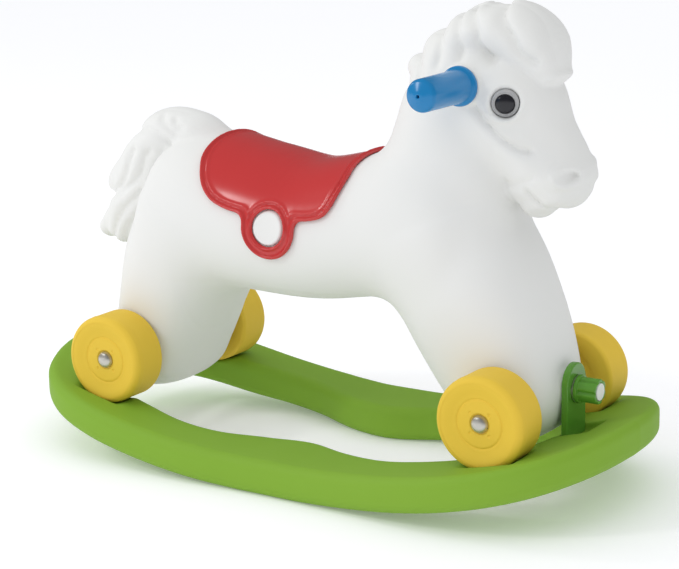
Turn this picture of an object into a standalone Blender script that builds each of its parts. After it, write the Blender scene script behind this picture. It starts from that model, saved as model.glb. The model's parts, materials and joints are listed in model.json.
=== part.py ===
"""Rocking horse on a detachable rocker, with wheels: a Blender 4.5 script.

Metres, +Z up, +X towards the horse's nose, +Y to the horse's left. The origin is on the floor, under the
middle of the rocker. The horse is symmetric about the plane Y = 0, so pieces that come in pairs are made by
the same function with side = -1 (right) and side = +1 (left).
"""

import math

import bmesh
import bpy
import numpy as np
from mathutils import Matrix, Vector

OBJECT = "rocking_horse"
GAP = 0.0004  # between any two pieces that touch

# Wheels and axles
WHEEL_RADIUS = 0.0528
WHEEL_OUTER_Y = 0.1335
WHEEL_FACE_Y = 0.1290
WHEEL_INNER_Y = 0.0835
WHEEL_EDGE = 0.0080
HALF_WHEELBASE = 0.2550
HUB_Z = 0.1150
AXLE_RADIUS = 0.0040
WASHER_THICK = 0.0016
WASHER_RADIUS = 0.0130
CAP_RADIUS = 0.0095
CAP_HEIGHT = 0.0065
AXLE_BOSS_RADIUS = 0.0170

# Rocker ring
ROCKER_CURVE = 1.12  # radius of the rocking surface in side view
ROCKER_HEIGHT = 0.0415
ROCKER_FLAT = 0.035  # half-length of the level stretch under the middle
POCKET_CLEAR = 0.0022

# Front fastening
LOCK_Z = 0.1290
BOSS_X = 0.2975
BOSS_ROOT_X = 0.2550
BOSS_RADIUS = 0.0190
TAB_THICK = 0.0080
TAB_WIDTH = 0.0450
TAB_TOP = 0.1580
SLOT_REAR_X, SLOT_FRONT_X = 0.2900, 0.3300
SLOT_FLOOR_Z = 0.0735
SLOT_CLEAR = 0.0020
STUD_RADIUS = 0.0095
STUD_ROOT_X = 0.2620
STUD_END_X = 0.3345
NUT_FLANGE_RADIUS = 0.0160
NUT_FLANGE_THICK = 0.0040
NUT_RADIUS = 0.0138
NUT_END_X = 0.3340
FLUTES = 6
FLUTE_RADIUS = 0.0050
FLUTE_REACH = 0.0034  # from the nut's side out to a flute's middle

# Handle and eyes
HANDLE_X, HANDLE_Z = 0.1940, 0.4635
HEAD_SEAT_Y = 0.0600
GRIP_END_Y = 0.1500
GRIP_RADIUS = 0.0178
COLLAR_RADIUS = 0.0218
COLLAR_THICK = 0.0070
ROD_RADIUS = 0.0060
EYE_X, EYE_Z = 0.2420, 0.4475
EYE_SEAT_Y = 0.0470
EYE_TURN = 22.0  # degrees from straight out to the side, towards the nose
EYE_DROP = 6.0  # degrees below level
EYE_RADIUS = 0.0152
PUPIL_RADIUS = 0.0108

# Saddle
SADDLE_GAP = 0.0008
SADDLE_THICK = 0.0045

WHITE = ("white_shell", (0.80, 0.80, 0.78), 0.48, 0.0)
RED = ("red_saddle", (0.55, 0.035, 0.035), 0.22, 0.0)
GREEN = ("green_rocker", (0.22, 0.41, 0.025), 0.38, 0.0)
DARK_GREEN = ("green_lock", (0.10, 0.30, 0.03), 0.35, 0.0)
YELLOW = ("yellow_wheel", (0.80, 0.54, 0.045), 0.40, 0.0)
BLUE = ("blue_grip", (0.003, 0.20, 0.47), 0.35, 0.0)
STEEL = ("zinc_steel", (0.62, 0.60, 0.55), 0.28, 1.0)
BLACK = ("eye_black", (0.012, 0.012, 0.014), 0.12, 0.0)
GREY = ("eye_grey", (0.42, 0.42, 0.42), 0.35, 0.0)


# ---- scene and materials -------------------------------------------------------------------------


def clear_scene():
    for obj in list(bpy.data.objects):
        bpy.data.objects.remove(obj, do_unlink=True)


def new_collection(name):
    made = bpy.data.collections.new(name)
    bpy.context.scene.collection.children.link(made)
    return made


def material(spec):
    """The Principled material of one of the finishes above, made once."""
    name, colour, roughness, metallic = spec
    made = bpy.data.materials.get(name)
    if made:
        return made
    made = bpy.data.materials.new(name)
    made.use_nodes = True
    shader = made.node_tree.nodes["Principled BSDF"]
    shader.inputs["Base Color"].default_value = (*colour, 1.0)
    shader.inputs["Roughness"].default_value = roughness
    shader.inputs["Metallic"].default_value = metallic
    made.diffuse_color = (*colour, 1.0)
    return made


def add_object(name, mesh, spec=None, parent=None):
    """A sub-part when it has a finish, and otherwise a cutter, which stays out of the render."""
    obj = bpy.data.objects.new(name, mesh)
    if spec:
        mesh.materials.clear()
        mesh.materials.append(material(spec))
        bpy.data.collections[OBJECT].objects.link(obj)
    else:
        obj.hide_render = True
        obj.display_type = "WIRE"
        bpy.data.collections["cutters"].objects.link(obj)
    obj.parent = parent
    return obj


# ---- shapes --------------------------------------------------------------------------------------


def loft_mesh(name, rings, ring_closed=False):
    """A closed skin through rings of equal point counts: capped at both ends, or joined end to start."""
    shape = bmesh.new()
    rows = [[shape.verts.new(point) for point in ring] for ring in rings]
    pairs = list(zip(rows, rows[1:]))
    if ring_closed:
        pairs.append((rows[-1], rows[0]))
    else:
        shape.faces.new(rows[0])
        shape.faces.new(rows[-1])
    for first, second in pairs:
        for i, corner in enumerate(first):
            j = (i + 1) % len(first)
            shape.faces.new((corner, first[j], second[j], second[i]))
    bmesh.ops.recalc_face_normals(shape, faces=shape.faces)
    mesh = bpy.data.meshes.new(name)
    shape.to_mesh(mesh)
    shape.free()
    return mesh


def spline(knots, count):
    """Points evenly spread in parameter along a centripetal-like Catmull-Rom curve through the knots."""
    knots = np.asarray(knots, float)
    padded = np.vstack([2 * knots[0] - knots[1], knots, 2 * knots[-1] - knots[-2]])
    where = np.linspace(0, len(knots) - 1, count)
    start = np.minimum(where.astype(int), len(knots) - 2)
    t = (where - start)[:, None]
    a, b, c, d = (padded[start + k] for k in range(4))
    return 0.5 * (2 * b + (c - a) * t + (2 * a - 5 * b + 4 * c - d) * t**2 + (3 * (b - c) + d - a) * t**3)


def limb_mesh(name, stations, count=14, sides=28):
    """A limb of the horse. Each station is (x, z, depth, width, squareness): the middle of a section, its
    half-size in the plane Y = 0 across the limb, its half-size along Y and its superellipse power."""
    path = spline(stations, count)
    along = np.gradient(path[:, :2], axis=0)
    along /= np.linalg.norm(along, axis=1)[:, None]
    turn = np.linspace(0, 2 * math.pi, sides, endpoint=False)
    rings = []
    for (x, z, depth, width, power), (tx, tz) in zip(path, along):
        cos = np.sign(np.cos(turn)) * np.abs(np.cos(turn)) ** (2 / power)
        sin = np.sign(np.sin(turn)) * np.abs(np.sin(turn)) ** (2 / power)
        rings.append(np.column_stack([x - tz * depth * cos, width * sin, z + tx * depth * cos]))
    return loft_mesh(name, rings)


def turned(name, profile, spec=None, steps=40, parent=None):
    """A turned piece about its own Z. The profile is (radius, height) pairs, running down its outer side."""
    mesh = bpy.data.meshes.new(name)
    points = [(r, 0.0, h) for r, h in profile]
    edges = [(i, i + 1) for i in range(len(points) - 1)]
    if profile[0] == profile[-1]:
        points.pop()
        edges[-1] = (len(points) - 1, 0)
    mesh.from_pydata(points, edges, [])
    obj = add_object(name, mesh, spec, parent)
    screw = obj.modifiers.new("turn", "SCREW")
    screw.steps = screw.render_steps = steps
    screw.use_merge_vertices = True
    screw.merge_threshold = 0.00001
    return obj


def tube_profile(outer, inner, low, high):
    """Profile of a ring or sleeve: down the outer side, in, and up the bore."""
    return [(inner, high), (outer, high), (outer, low), (inner, low), (inner, high)]


def arc(centre_r, centre_h, radius, start, end, count):
    """Profile points on an arc, angles in degrees from the outward radius towards +height."""
    angles = np.radians(np.linspace(start, end, count))
    return [(centre_r + radius * math.cos(a), centre_h + radius * math.sin(a)) for a in angles]


def rod_mesh(name, radius, start, end, sides=24):
    """A plain closed cylinder between two points."""
    start, end = Vector(start), Vector(end)
    shape = bmesh.new()
    bmesh.ops.create_cone(
        shape, cap_ends=True, segments=sides, radius1=radius, radius2=radius, depth=(end - start).length
    )
    place = (end - start).to_track_quat("Z", "X").to_matrix().to_4x4()
    shape.transform(Matrix.Translation((start + end) / 2) @ place)
    mesh = bpy.data.meshes.new(name)
    shape.to_mesh(mesh)
    shape.free()
    return mesh


def face_along_y(obj, x, z, side):
    """Stands a turned piece on the plane Y = 0 with its height running outwards on the given side."""
    obj.location = (x, 0, z)
    obj.rotation_euler = (-side * math.pi / 2, 0, 0)


def boolean(obj, operation, other, solver="EXACT"):
    step = obj.modifiers.new(f"{operation.lower()}_{other.name}", "BOOLEAN")
    step.operation = operation
    step.solver = solver
    step.object = other


def applied(obj):
    """The object's mesh as its modifiers leave it, in world space."""
    bpy.context.view_layer.update()
    graph = bpy.context.evaluated_depsgraph_get()
    mesh = bpy.data.meshes.new_from_object(obj.evaluated_get(graph))
    mesh.transform(obj.matrix_world)
    return mesh


# ---- horse ---------------------------------------------------------------------------------------

# Stations are (x, z, half-depth, half-width, squareness), from one end of the limb to the other.
BARREL = [
    (-0.250, 0.290, 0.040, 0.050, 2.0),
    (-0.232, 0.288, 0.076, 0.080, 2.1),
    (-0.180, 0.289, 0.091, 0.093, 2.2),
    (-0.100, 0.280, 0.085, 0.095, 2.2),
    (-0.020, 0.275, 0.080, 0.095, 2.2),
    (0.060, 0.288, 0.082, 0.095, 2.2),
    (0.130, 0.297, 0.095, 0.095, 2.2),
    (0.180, 0.296, 0.076, 0.086, 2.1),
    (0.210, 0.294, 0.040, 0.050, 2.0),
]
REAR_LEG = [
    (-0.190, 0.290, 0.070, 0.080, 2.2),
    (-0.213, 0.230, 0.072, 0.089, 2.4),
    (-0.233, 0.170, 0.064, 0.083, 2.7),
    (-0.248, 0.120, 0.056, 0.079, 2.8),
    (-0.254, 0.086, 0.048, 0.075, 2.6),
    (-0.256, 0.066, 0.030, 0.058, 2.2),
]
FRONT_LEG = [
    (0.150, 0.300, 0.078, 0.080, 2.2),
    (0.178, 0.235, 0.082, 0.091, 2.4),
    (0.211, 0.170, 0.075, 0.083, 2.7),
    (0.235, 0.120, 0.062, 0.079, 2.8),
    (0.246, 0.088, 0.050, 0.075, 2.6),
    (0.250, 0.070, 0.030, 0.058, 2.2),
]
NECK = [
    (0.110, 0.275, 0.085, 0.080, 2.1),
    (0.143, 0.330, 0.086, 0.080, 2.1),
    (0.157, 0.390, 0.076, 0.070, 2.1),
    (0.168, 0.440, 0.070, 0.062, 2.1),
    (0.186, 0.485, 0.062, 0.056, 2.1),
    (0.202, 0.520, 0.034, 0.036, 2.0),
]
HEAD = [
    (0.190, 0.500, 0.030, 0.040, 2.0),
    (0.204, 0.470, 0.057, 0.056, 2.1),
    (0.229, 0.433, 0.060, 0.058, 2.2),
    (0.256, 0.394, 0.049, 0.048, 2.2),
    (0.277, 0.360, 0.045, 0.044, 2.2),
    (0.286, 0.338, 0.032, 0.034, 2.0),
]
CHIN = [
    (0.246, 0.352, 0.018, 0.024, 2.0),
    (0.259, 0.337, 0.021, 0.026, 2.0),
]
MANE = [
    (0.110, 0.400, 0.020, 0.022, 2.0),
    (0.122, 0.436, 0.029, 0.034, 2.0),
    (0.146, 0.476, 0.031, 0.042, 2.0),
    (0.184, 0.508, 0.033, 0.048, 2.0),
    (0.224, 0.515, 0.035, 0.050, 2.0),
    (0.258, 0.498, 0.033, 0.044, 2.0),
    (0.276, 0.469, 0.020, 0.026, 2.0),
]
TAIL = [
    (-0.160, 0.362, 0.016, 0.022, 2.0),
    (-0.200, 0.374, 0.026, 0.032, 2.0),
    (-0.244, 0.368, 0.034, 0.038, 2.1),
    (-0.274, 0.330, 0.037, 0.042, 2.2),
    (-0.294, 0.276, 0.037, 0.042, 2.2),
    (-0.312, 0.236, 0.026, 0.034, 2.0),
]
LIMBS = {
    "barrel": BARREL,
    "rear_leg": REAR_LEG,
    "front_leg": FRONT_LEG,
    "neck": NECK,
    "head": HEAD,
    "chin": CHIN,
    "mane": MANE,
    "tail": TAIL,
}

# The saddle's rear edge, lower edge and front edge in side view, as (x, z); the lug is added below it.
SADDLE_OUTLINE = [
    (-0.154, 0.420),
    (-0.152, 0.370),
    (-0.144, 0.348),
    (-0.131, 0.327),
    (-0.110, 0.312),
    (-0.070, 0.304),
    (-0.002, 0.303),
    (0.031, 0.308),
    (0.045, 0.320),
    (0.054, 0.342),
    (0.059, 0.358),
    (0.060, 0.370),
    (0.060, 0.420),
]
LUG_X, LUG_Z = -0.0360, 0.2915
LUG_RADIUS = 0.0360
LUG_HOLE = (0.0212, 0.0208)

# Half of the rocker ring seen from above, from the rear middle to the front middle, as pairs of an outer
# and an inner point (x, y, x, y).
ROCKER_PLAN = [
    (-0.391, 0.000, -0.314, 0.000),
    (-0.386, 0.041, -0.311, 0.030),
    (-0.372, 0.084, -0.302, 0.056),
    (-0.347, 0.127, -0.282, 0.078),
    (-0.307, 0.157, -0.250, 0.091),
    (-0.250, 0.172, -0.205, 0.099),
    (-0.180, 0.176, -0.155, 0.107),
    (-0.110, 0.176, -0.105, 0.103),
    (-0.040, 0.172, -0.050, 0.084),
    (0.030, 0.172, 0.010, 0.074),
    (0.100, 0.175, 0.070, 0.092),
    (0.170, 0.179, 0.125, 0.104),
    (0.235, 0.177, 0.175, 0.101),
    (0.293, 0.163, 0.225, 0.091),
    (0.336, 0.134, 0.260, 0.070),
    (0.364, 0.092, 0.277, 0.045),
    (0.378, 0.046, 0.284, 0.020),
    (0.3825, 0.000, 0.285, 0.000),
]
ROCKER_EDGE = 0.012


def outermost_island(mesh):
    """Drops the small surfaces round any pocket that the limbs seal off between them."""
    shape = bmesh.new()
    shape.from_mesh(mesh)
    left = set(shape.verts)
    islands = []
    while left:
        island = set()
        edge = {next(iter(left))}
        while edge:
            island |= edge
            edge = {link.other_vert(vert) for vert in edge for link in vert.link_edges} - island
        islands.append(island)
        left -= island
    biggest = max(islands, key=len)
    bmesh.ops.delete(shape, geom=[vert for vert in shape.verts if vert not in biggest], context="VERTS")
    shape.to_mesh(mesh)
    shape.free()
    return mesh


def body_skin():
    """The horse's outer skin: its limbs fused into one closed surface, smoothed and thinned out."""
    fused = bmesh.new()
    for limb, stations in LIMBS.items():
        mesh = limb_mesh(limb, stations)
        fused.from_mesh(mesh)
        bpy.data.meshes.remove(mesh)
    mesh = bpy.data.meshes.new("body_skin")
    fused.to_mesh(mesh)
    fused.free()
    skin = add_object("body_skin", mesh)
    remesh = skin.modifiers.new("fuse", "REMESH")
    remesh.mode = "VOXEL"
    remesh.voxel_size = 0.006
    smooth = skin.modifiers.new("smooth", "SMOOTH")
    smooth.factor = 0.5
    smooth.iterations = 12
    thin = skin.modifiers.new("thin", "DECIMATE")
    thin.ratio = 0.085
    mirror = skin.modifiers.new("mirror", "MIRROR")
    mirror.use_axis = (False, True, False)
    mirror.use_bisect_axis = (False, True, False)
    mirror.use_clip = True
    mirror.merge_threshold = 0.0001
    return outermost_island(applied(skin))


def cut_round(body, name, radius, start, end, sides=24, solver="EXACT"):
    boolean(body, "DIFFERENCE", add_object(name, rod_mesh(name, radius, start, end, sides)), solver)


def join_round(body, name, radius, start, end, sides=32):
    boolean(body, "UNION", add_object(name, rod_mesh(name, radius, start, end, sides)))


def eye_axis(side):
    """The middle of an eye's seat, and the way the eye looks."""
    turn, drop = math.radians(EYE_TURN), math.radians(EYE_DROP)
    level = math.cos(drop)
    way = Vector((math.sin(turn) * level, side * math.cos(turn) * level, -math.sin(drop)))
    return Vector((EYE_X, side * EYE_SEAT_Y, EYE_Z)), way


def horse_body(skin):
    """The white shell, with bores and seats for everything that is fixed to it."""
    body = add_object("horse_body", skin.copy(), WHITE)
    half = WHEEL_INNER_Y - WASHER_THICK - 2 * GAP
    for end, x in (("rear", -HALF_WHEELBASE), ("front", HALF_WHEELBASE)):
        join_round(body, f"axle_boss_{end}", AXLE_BOSS_RADIUS, (x, -half, HUB_Z), (x, half, HUB_Z))
    join_round(body, "lock_boss", BOSS_RADIUS, (BOSS_ROOT_X, 0, LOCK_Z), (BOSS_X, 0, LOCK_Z))
    right, left = ((HANDLE_X, side * (HEAD_SEAT_Y + 0.0015), HANDLE_Z) for side in (-1, 1))
    join_round(body, "grip_boss", COLLAR_RADIUS + 0.001, right, left)
    for end, x in (("rear", -HALF_WHEELBASE), ("front", HALF_WHEELBASE)):
        cut_round(body, f"axle_bore_{end}", AXLE_RADIUS + GAP, (x, -0.2, HUB_Z), (x, 0.2, HUB_Z))
    cut_round(body, "stud_bore", STUD_RADIUS + GAP, (STUD_ROOT_X - GAP, 0, LOCK_Z), (0.4, 0, LOCK_Z))
    cut_round(body, "rod_bore", ROD_RADIUS + GAP, (HANDLE_X, -0.2, HANDLE_Z), (HANDLE_X, 0.2, HANDLE_Z))
    for side in (-1, 1):
        seat, far = (HANDLE_X, side * HEAD_SEAT_Y, HANDLE_Z), (HANDLE_X, side * 0.2, HANDLE_Z)
        cut_round(body, f"grip_seat_{side}", COLLAR_RADIUS + 0.003, seat, far, 32, "MANIFOLD")
        middle, way = eye_axis(side)
        cut_round(body, f"eye_seat_{side}", EYE_RADIUS + GAP, middle, middle + 0.05 * way, 32, "MANIFOLD")
    return body


# ---- saddle --------------------------------------------------------------------------------------


def prism(name, outlines, half_width=0.2):
    """A flat outline in side view, with any holes, run across the horse as a closed mesh."""
    curve = bpy.data.curves.new(name, "CURVE")
    curve.dimensions = "2D"
    curve.fill_mode = "BOTH"
    curve.extrude = half_width
    for outline in outlines:
        run = curve.splines.new("POLY")
        run.points.add(len(outline) - 1)
        for point, (x, z) in zip(run.points, outline):
            point.co = (x, z, 0, 1)
        run.use_cyclic_u = True
    flat = add_object(f"{name}_curve", curve)
    flat.rotation_euler = (math.pi / 2, 0, 0)
    mesh = applied(flat)
    bpy.data.objects.remove(flat)
    shape = bmesh.new()
    shape.from_mesh(mesh)
    bmesh.ops.remove_doubles(shape, verts=shape.verts, dist=0.00001)
    bmesh.ops.recalc_face_normals(shape, faces=shape.faces)
    shape.to_mesh(mesh)
    shape.free()
    return add_object(name, mesh)


def ellipse(x, z, half_x, half_z, count=24):
    angles = np.linspace(0, 2 * math.pi, count, endpoint=False)
    return [(x + half_x * math.cos(a), z + half_z * math.sin(a)) for a in angles]


def offset_skin(name, skin, distance):
    """The horse's skin moved out along its own normals."""
    obj = add_object(name, skin.copy())
    move = obj.modifiers.new("out", "DISPLACE")
    move.mid_level = 0.0
    move.strength = distance
    return obj


def lug_outline(reach, count=20):
    """A round-ended tongue that hangs from the saddle's lower edge."""
    angles = np.radians(np.linspace(0, -180, count))
    rounded = [(LUG_X + reach * math.cos(a), LUG_Z + reach * math.sin(a)) for a in angles]
    return [(LUG_X + reach, LUG_Z + 0.025), *rounded, (LUG_X - reach, LUG_Z + 0.025)]


def saddle(skin):
    """The seat: the layer between two offsets of the horse's skin, trimmed to the outline and its lugs."""
    seat = add_object("saddle", applied(offset_skin("saddle_top", skin, SADDLE_GAP + SADDLE_THICK)), RED)
    boolean(seat, "DIFFERENCE", offset_skin("saddle_under", skin, SADDLE_GAP))
    outline = prism("saddle_outline", [[tuple(point) for point in spline(SADDLE_OUTLINE, 34)]])
    boolean(outline, "UNION", prism("lug_outline", [lug_outline(LUG_RADIUS)], 0.19))
    boolean(outline, "DIFFERENCE", prism("lug_window", [ellipse(LUG_X, LUG_Z, *LUG_HOLE)], 0.22))
    boolean(seat, "INTERSECT", outline)
    return seat


# ---- handle and eyes -----------------------------------------------------------------------------


def handle():
    """Cross rod through the head with a collared grip pushed on each end."""
    reach = GRIP_END_Y - 0.020
    rod = rod_mesh("handle_rod", ROD_RADIUS, (HANDLE_X, -reach, HANDLE_Z), (HANDLE_X, reach, HANDLE_Z))
    add_object("handle_rod", rod, STEEL)
    seat = HEAD_SEAT_Y + GAP
    neck = seat + COLLAR_THICK
    profile = [
        (0.0, GRIP_END_Y - 0.008),
        (0.0018, GRIP_END_Y - 0.008),
        (0.0018, GRIP_END_Y - 0.0005),
        (0.0040, GRIP_END_Y - 0.0008),
        (GRIP_RADIUS - 0.0030, GRIP_END_Y - 0.0040),
        *arc(GRIP_RADIUS - 0.0025, GRIP_END_Y - 0.0065, 0.0025, 70, 0, 4),
        (GRIP_RADIUS + 0.0004, neck + 0.006),
        *arc(GRIP_RADIUS + 0.0034, neck + 0.003, 0.003, 180, 270, 4),
        *arc(COLLAR_RADIUS - 0.0025, neck - 0.0025, 0.0025, 90, 0, 4),
        (COLLAR_RADIUS, seat),
        (ROD_RADIUS + GAP, seat),
        (ROD_RADIUS + GAP, reach + GAP),
        (0.0, reach + GAP),
    ]
    for word, side in (("right", -1), ("left", 1)):
        face_along_y(turned(f"handle_grip_{word}", profile, BLUE, 24), HANDLE_X, HANDLE_Z, side)


def eyes():
    """A socket ring and a domed pupil on each side of the head."""
    low = GAP
    rim = low + 0.0085
    bezel = [
        (PUPIL_RADIUS + GAP, rim - 0.0010),
        (PUPIL_RADIUS + 0.0020, rim),
        (EYE_RADIUS - 0.0020, rim),
        (EYE_RADIUS, rim - 0.0020),
        (EYE_RADIUS, low),
        (PUPIL_RADIUS + GAP, low),
        (PUPIL_RADIUS + GAP, rim - 0.0010),
    ]
    dome = rim + 0.0035
    bulge = (PUPIL_RADIUS**2 + (dome - rim + 0.001) ** 2) / (2 * (dome - rim + 0.001))
    edge = math.degrees(math.acos(PUPIL_RADIUS / bulge))
    pupil = [*arc(0, dome - bulge, bulge, 90, edge, 6), (PUPIL_RADIUS, low), (0.0, low)]
    pupil[0] = (0.0, dome)
    for word, side in (("right", -1), ("left", 1)):
        middle, way = eye_axis(side)
        turn = way.to_track_quat("Z", "X").to_euler()
        for name, profile, finish in (("bezel", bezel, GREY), ("dome", pupil, BLACK)):
            piece = turned(f"eye_{name}_{word}", profile, finish, 24)
            piece.location = middle
            piece.rotation_euler = turn


# ---- wheels --------------------------------------------------------------------------------------


def wheels():
    """Two axles, and on each end a washer, a wheel whose origin is on its axle, and a push-on cap."""
    bore = AXLE_RADIUS + GAP
    cap_low = WHEEL_FACE_Y + GAP
    axle_end = cap_low + 0.0030
    wheel = [
        (bore, WHEEL_FACE_Y),
        (WHEEL_RADIUS * 0.62, WHEEL_FACE_Y),
        *arc(WHEEL_RADIUS - WHEEL_EDGE, WHEEL_OUTER_Y - WHEEL_EDGE, WHEEL_EDGE, 90, 0, 6),
        *arc(WHEEL_RADIUS - 0.004, WHEEL_INNER_Y + 0.004, 0.004, 0, -90, 4),
        (bore, WHEEL_INNER_Y),
        (bore, WHEEL_FACE_Y),
    ]
    cap = [
        (0.0, cap_low + CAP_HEIGHT),
        (CAP_RADIUS * 0.45, cap_low + CAP_HEIGHT * 0.93),
        (CAP_RADIUS * 0.78, cap_low + CAP_HEIGHT * 0.66),
        (CAP_RADIUS * 0.95, cap_low + CAP_HEIGHT * 0.30),
        (CAP_RADIUS, cap_low),
        (bore, cap_low),
        (bore, axle_end + GAP),
        (0.0, axle_end + GAP),
    ]
    washer = tube_profile(WASHER_RADIUS, bore, WHEEL_INNER_Y - GAP - WASHER_THICK, WHEEL_INNER_Y - GAP)
    for end, x in (("front", HALF_WHEELBASE), ("rear", -HALF_WHEELBASE)):
        axle = rod_mesh("axle", AXLE_RADIUS, (x, -axle_end, HUB_Z), (x, axle_end, HUB_Z))
        add_object(f"axle_{end}", axle, STEEL)
        for word, side in (("right", -1), ("left", 1)):
            face_along_y(turned(f"wheel_{end}_{word}", wheel, YELLOW, 32), x, HUB_Z, side)
            face_along_y(turned(f"wheel_washer_{end}_{word}", washer, STEEL, 16), x, HUB_Z, side)
            face_along_y(turned(f"axle_cap_{end}_{word}", cap, STEEL, 20), x, HUB_Z, side)


# ---- rocker --------------------------------------------------------------------------------------


def rocker_underside(x):
    """Height of the rocking surface: a long arc, level under the middle."""
    return max(0.0, (x * x - ROCKER_FLAT**2) / (2 * ROCKER_CURVE))


def rocker_section(outer, inner):
    """A rounded rectangle across the ring, from its outer to its inner edge."""
    outer, inner = np.array(outer), np.array(inner)
    width = np.linalg.norm(outer - inner)
    across = (inner - outer) / width
    points = []
    corners = ((0, 0, 180), (width, 0, 270), (width, ROCKER_HEIGHT, 0), (0, ROCKER_HEIGHT, 90))
    for corner_s, corner_z, start in corners:
        s = corner_s + math.copysign(ROCKER_EDGE, width / 2 - corner_s)
        z = corner_z + math.copysign(ROCKER_EDGE, ROCKER_HEIGHT / 2 - corner_z)
        points += arc(s, z, ROCKER_EDGE, start, start + 90, 4)
    section = []
    for s, z in points:
        x, y = outer + across * s
        section.append((x, y, z + rocker_underside(x)))
    return section


def rocker_base():
    """The closed rocker ring, with wheel pockets, reliefs for the legs and a slot for the bracket."""
    half = spline(ROCKER_PLAN, 33)
    half[0, 1] = half[0, 3] = half[-1, 1] = half[-1, 3] = 0.0
    other = half[-2:0:-1] * (1, -1, 1, -1)
    rings = [rocker_section(row[:2], row[2:]) for row in np.vstack([half, other])]
    ring = add_object("rocker_base", loft_mesh("rocker_base", rings, ring_closed=True), GREEN)
    for end, x in (("front", HALF_WHEELBASE), ("rear", -HALF_WHEELBASE)):
        for side in (-1, 1):
            start = (x, side * (WHEEL_INNER_Y - POCKET_CLEAR), HUB_Z)
            stop = (x, side * (WHEEL_OUTER_Y + POCKET_CLEAR), HUB_Z)
            cut_round(ring, f"pocket_{end}_{side}", WHEEL_RADIUS + POCKET_CLEAR, start, stop, 48)
    for name, stations in (("front_relief", FRONT_LEG), ("rear_relief", REAR_LEG)):
        foot = [(x, z - 0.003, depth + 0.004, width + 0.004, power) for x, z, depth, width, power in stations]
        boolean(ring, "DIFFERENCE", add_object(name, limb_mesh(name, foot)))
    low, high = SLOT_FLOOR_Z, 0.2
    slot = [(SLOT_REAR_X, low), (SLOT_FRONT_X, low), (SLOT_FRONT_X, high), (SLOT_REAR_X, high)]
    boolean(ring, "DIFFERENCE", prism("bracket_slot", [slot], TAB_WIDTH / 2 + SLOT_CLEAR))
    return ring


# ---- front fastening -----------------------------------------------------------------------------


def front_bracket():
    """A round-topped plate that stands in the rocker's slot, bored for the stud."""
    half = TAB_WIDTH / 2
    x = BOSS_X + GAP
    crown = [(half * math.cos(a), TAB_TOP - half + half * math.sin(a)) for a in np.linspace(0, math.pi, 17)]
    foot = SLOT_FLOOR_Z + GAP
    outline = [(-half, foot), (half, foot), *crown]
    rings = [[(depth, y, z) for y, z in outline] for depth in (x, x + TAB_THICK)]
    plate = add_object("front_bracket", loft_mesh("front_bracket", rings), DARK_GREEN)
    edge = plate.modifiers.new("edge", "BEVEL")
    edge.width = 0.0012
    edge.segments = 2
    edge.limit_method = "ANGLE"
    cut_round(plate, "bracket_bore", STUD_RADIUS + GAP, (0.28, 0, LOCK_Z), (0.33, 0, LOCK_Z), 32)
    return plate


def lock():
    """Stud in the front leg, and on it the washer and the ribbed, flanged nut that clamp the bracket."""
    bore = STUD_RADIUS + GAP
    stud = rod_mesh("stud", STUD_RADIUS, (STUD_ROOT_X, 0, LOCK_Z), (STUD_END_X, 0, LOCK_Z), 32)
    add_object("lock_stud", stud, WHITE)
    axis = bpy.data.objects.new("nut_axis", None)
    axis.location = (0, 0, LOCK_Z)
    axis.rotation_euler = (0, math.pi / 2, 0)
    bpy.data.collections[OBJECT].objects.link(axis)
    washer_low = BOSS_X + TAB_THICK + 2 * GAP
    washer_high = washer_low + WASHER_THICK
    turned("lock_washer", tube_profile(0.0150, bore, washer_low, washer_high), STEEL, 32, axis)
    low = washer_high + GAP
    neck = low + NUT_FLANGE_THICK
    nut = [
        (bore, NUT_END_X),
        (NUT_RADIUS - 0.0010, NUT_END_X),
        (NUT_RADIUS, NUT_END_X - 0.0010),
        (NUT_RADIUS, neck),
        (NUT_FLANGE_RADIUS - 0.0006, neck),
        (NUT_FLANGE_RADIUS, neck - 0.0006),
        (NUT_FLANGE_RADIUS, low),
        (bore, low),
        (bore, NUT_END_X),
    ]
    grip = turned("lock_nut", nut, DARK_GREEN, 36, axis)
    reach = NUT_RADIUS + FLUTE_REACH
    for k in range(FLUTES):
        angle = 2 * math.pi * k / FLUTES
        y, z = reach * math.cos(angle), LOCK_Z + reach * math.sin(angle)
        cut_round(grip, f"nut_flute_{k}", FLUTE_RADIUS, (neck, y, z), (NUT_END_X + 0.01, y, z), 16)


def main():
    clear_scene()
    new_collection(OBJECT)
    new_collection("cutters").hide_render = True
    skin = body_skin()
    horse_body(skin)
    saddle(skin)
    handle()
    eyes()
    wheels()
    rocker_base()
    front_bracket()
    lock()


main()
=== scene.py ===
"""Looks of the rocking horse: moulded shell, saddle, rocker ring, wheels, handle, eyes and front lock.

Metres, +Z up, +X towards the nose, +Y to the horse's left, origin on the floor under the rocker.
"""

import enum
import json
import logging
import math
from collections.abc import Callable
from dataclasses import dataclass, field

import bpy
import numpy as np
from mathutils import Matrix, Vector

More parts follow.
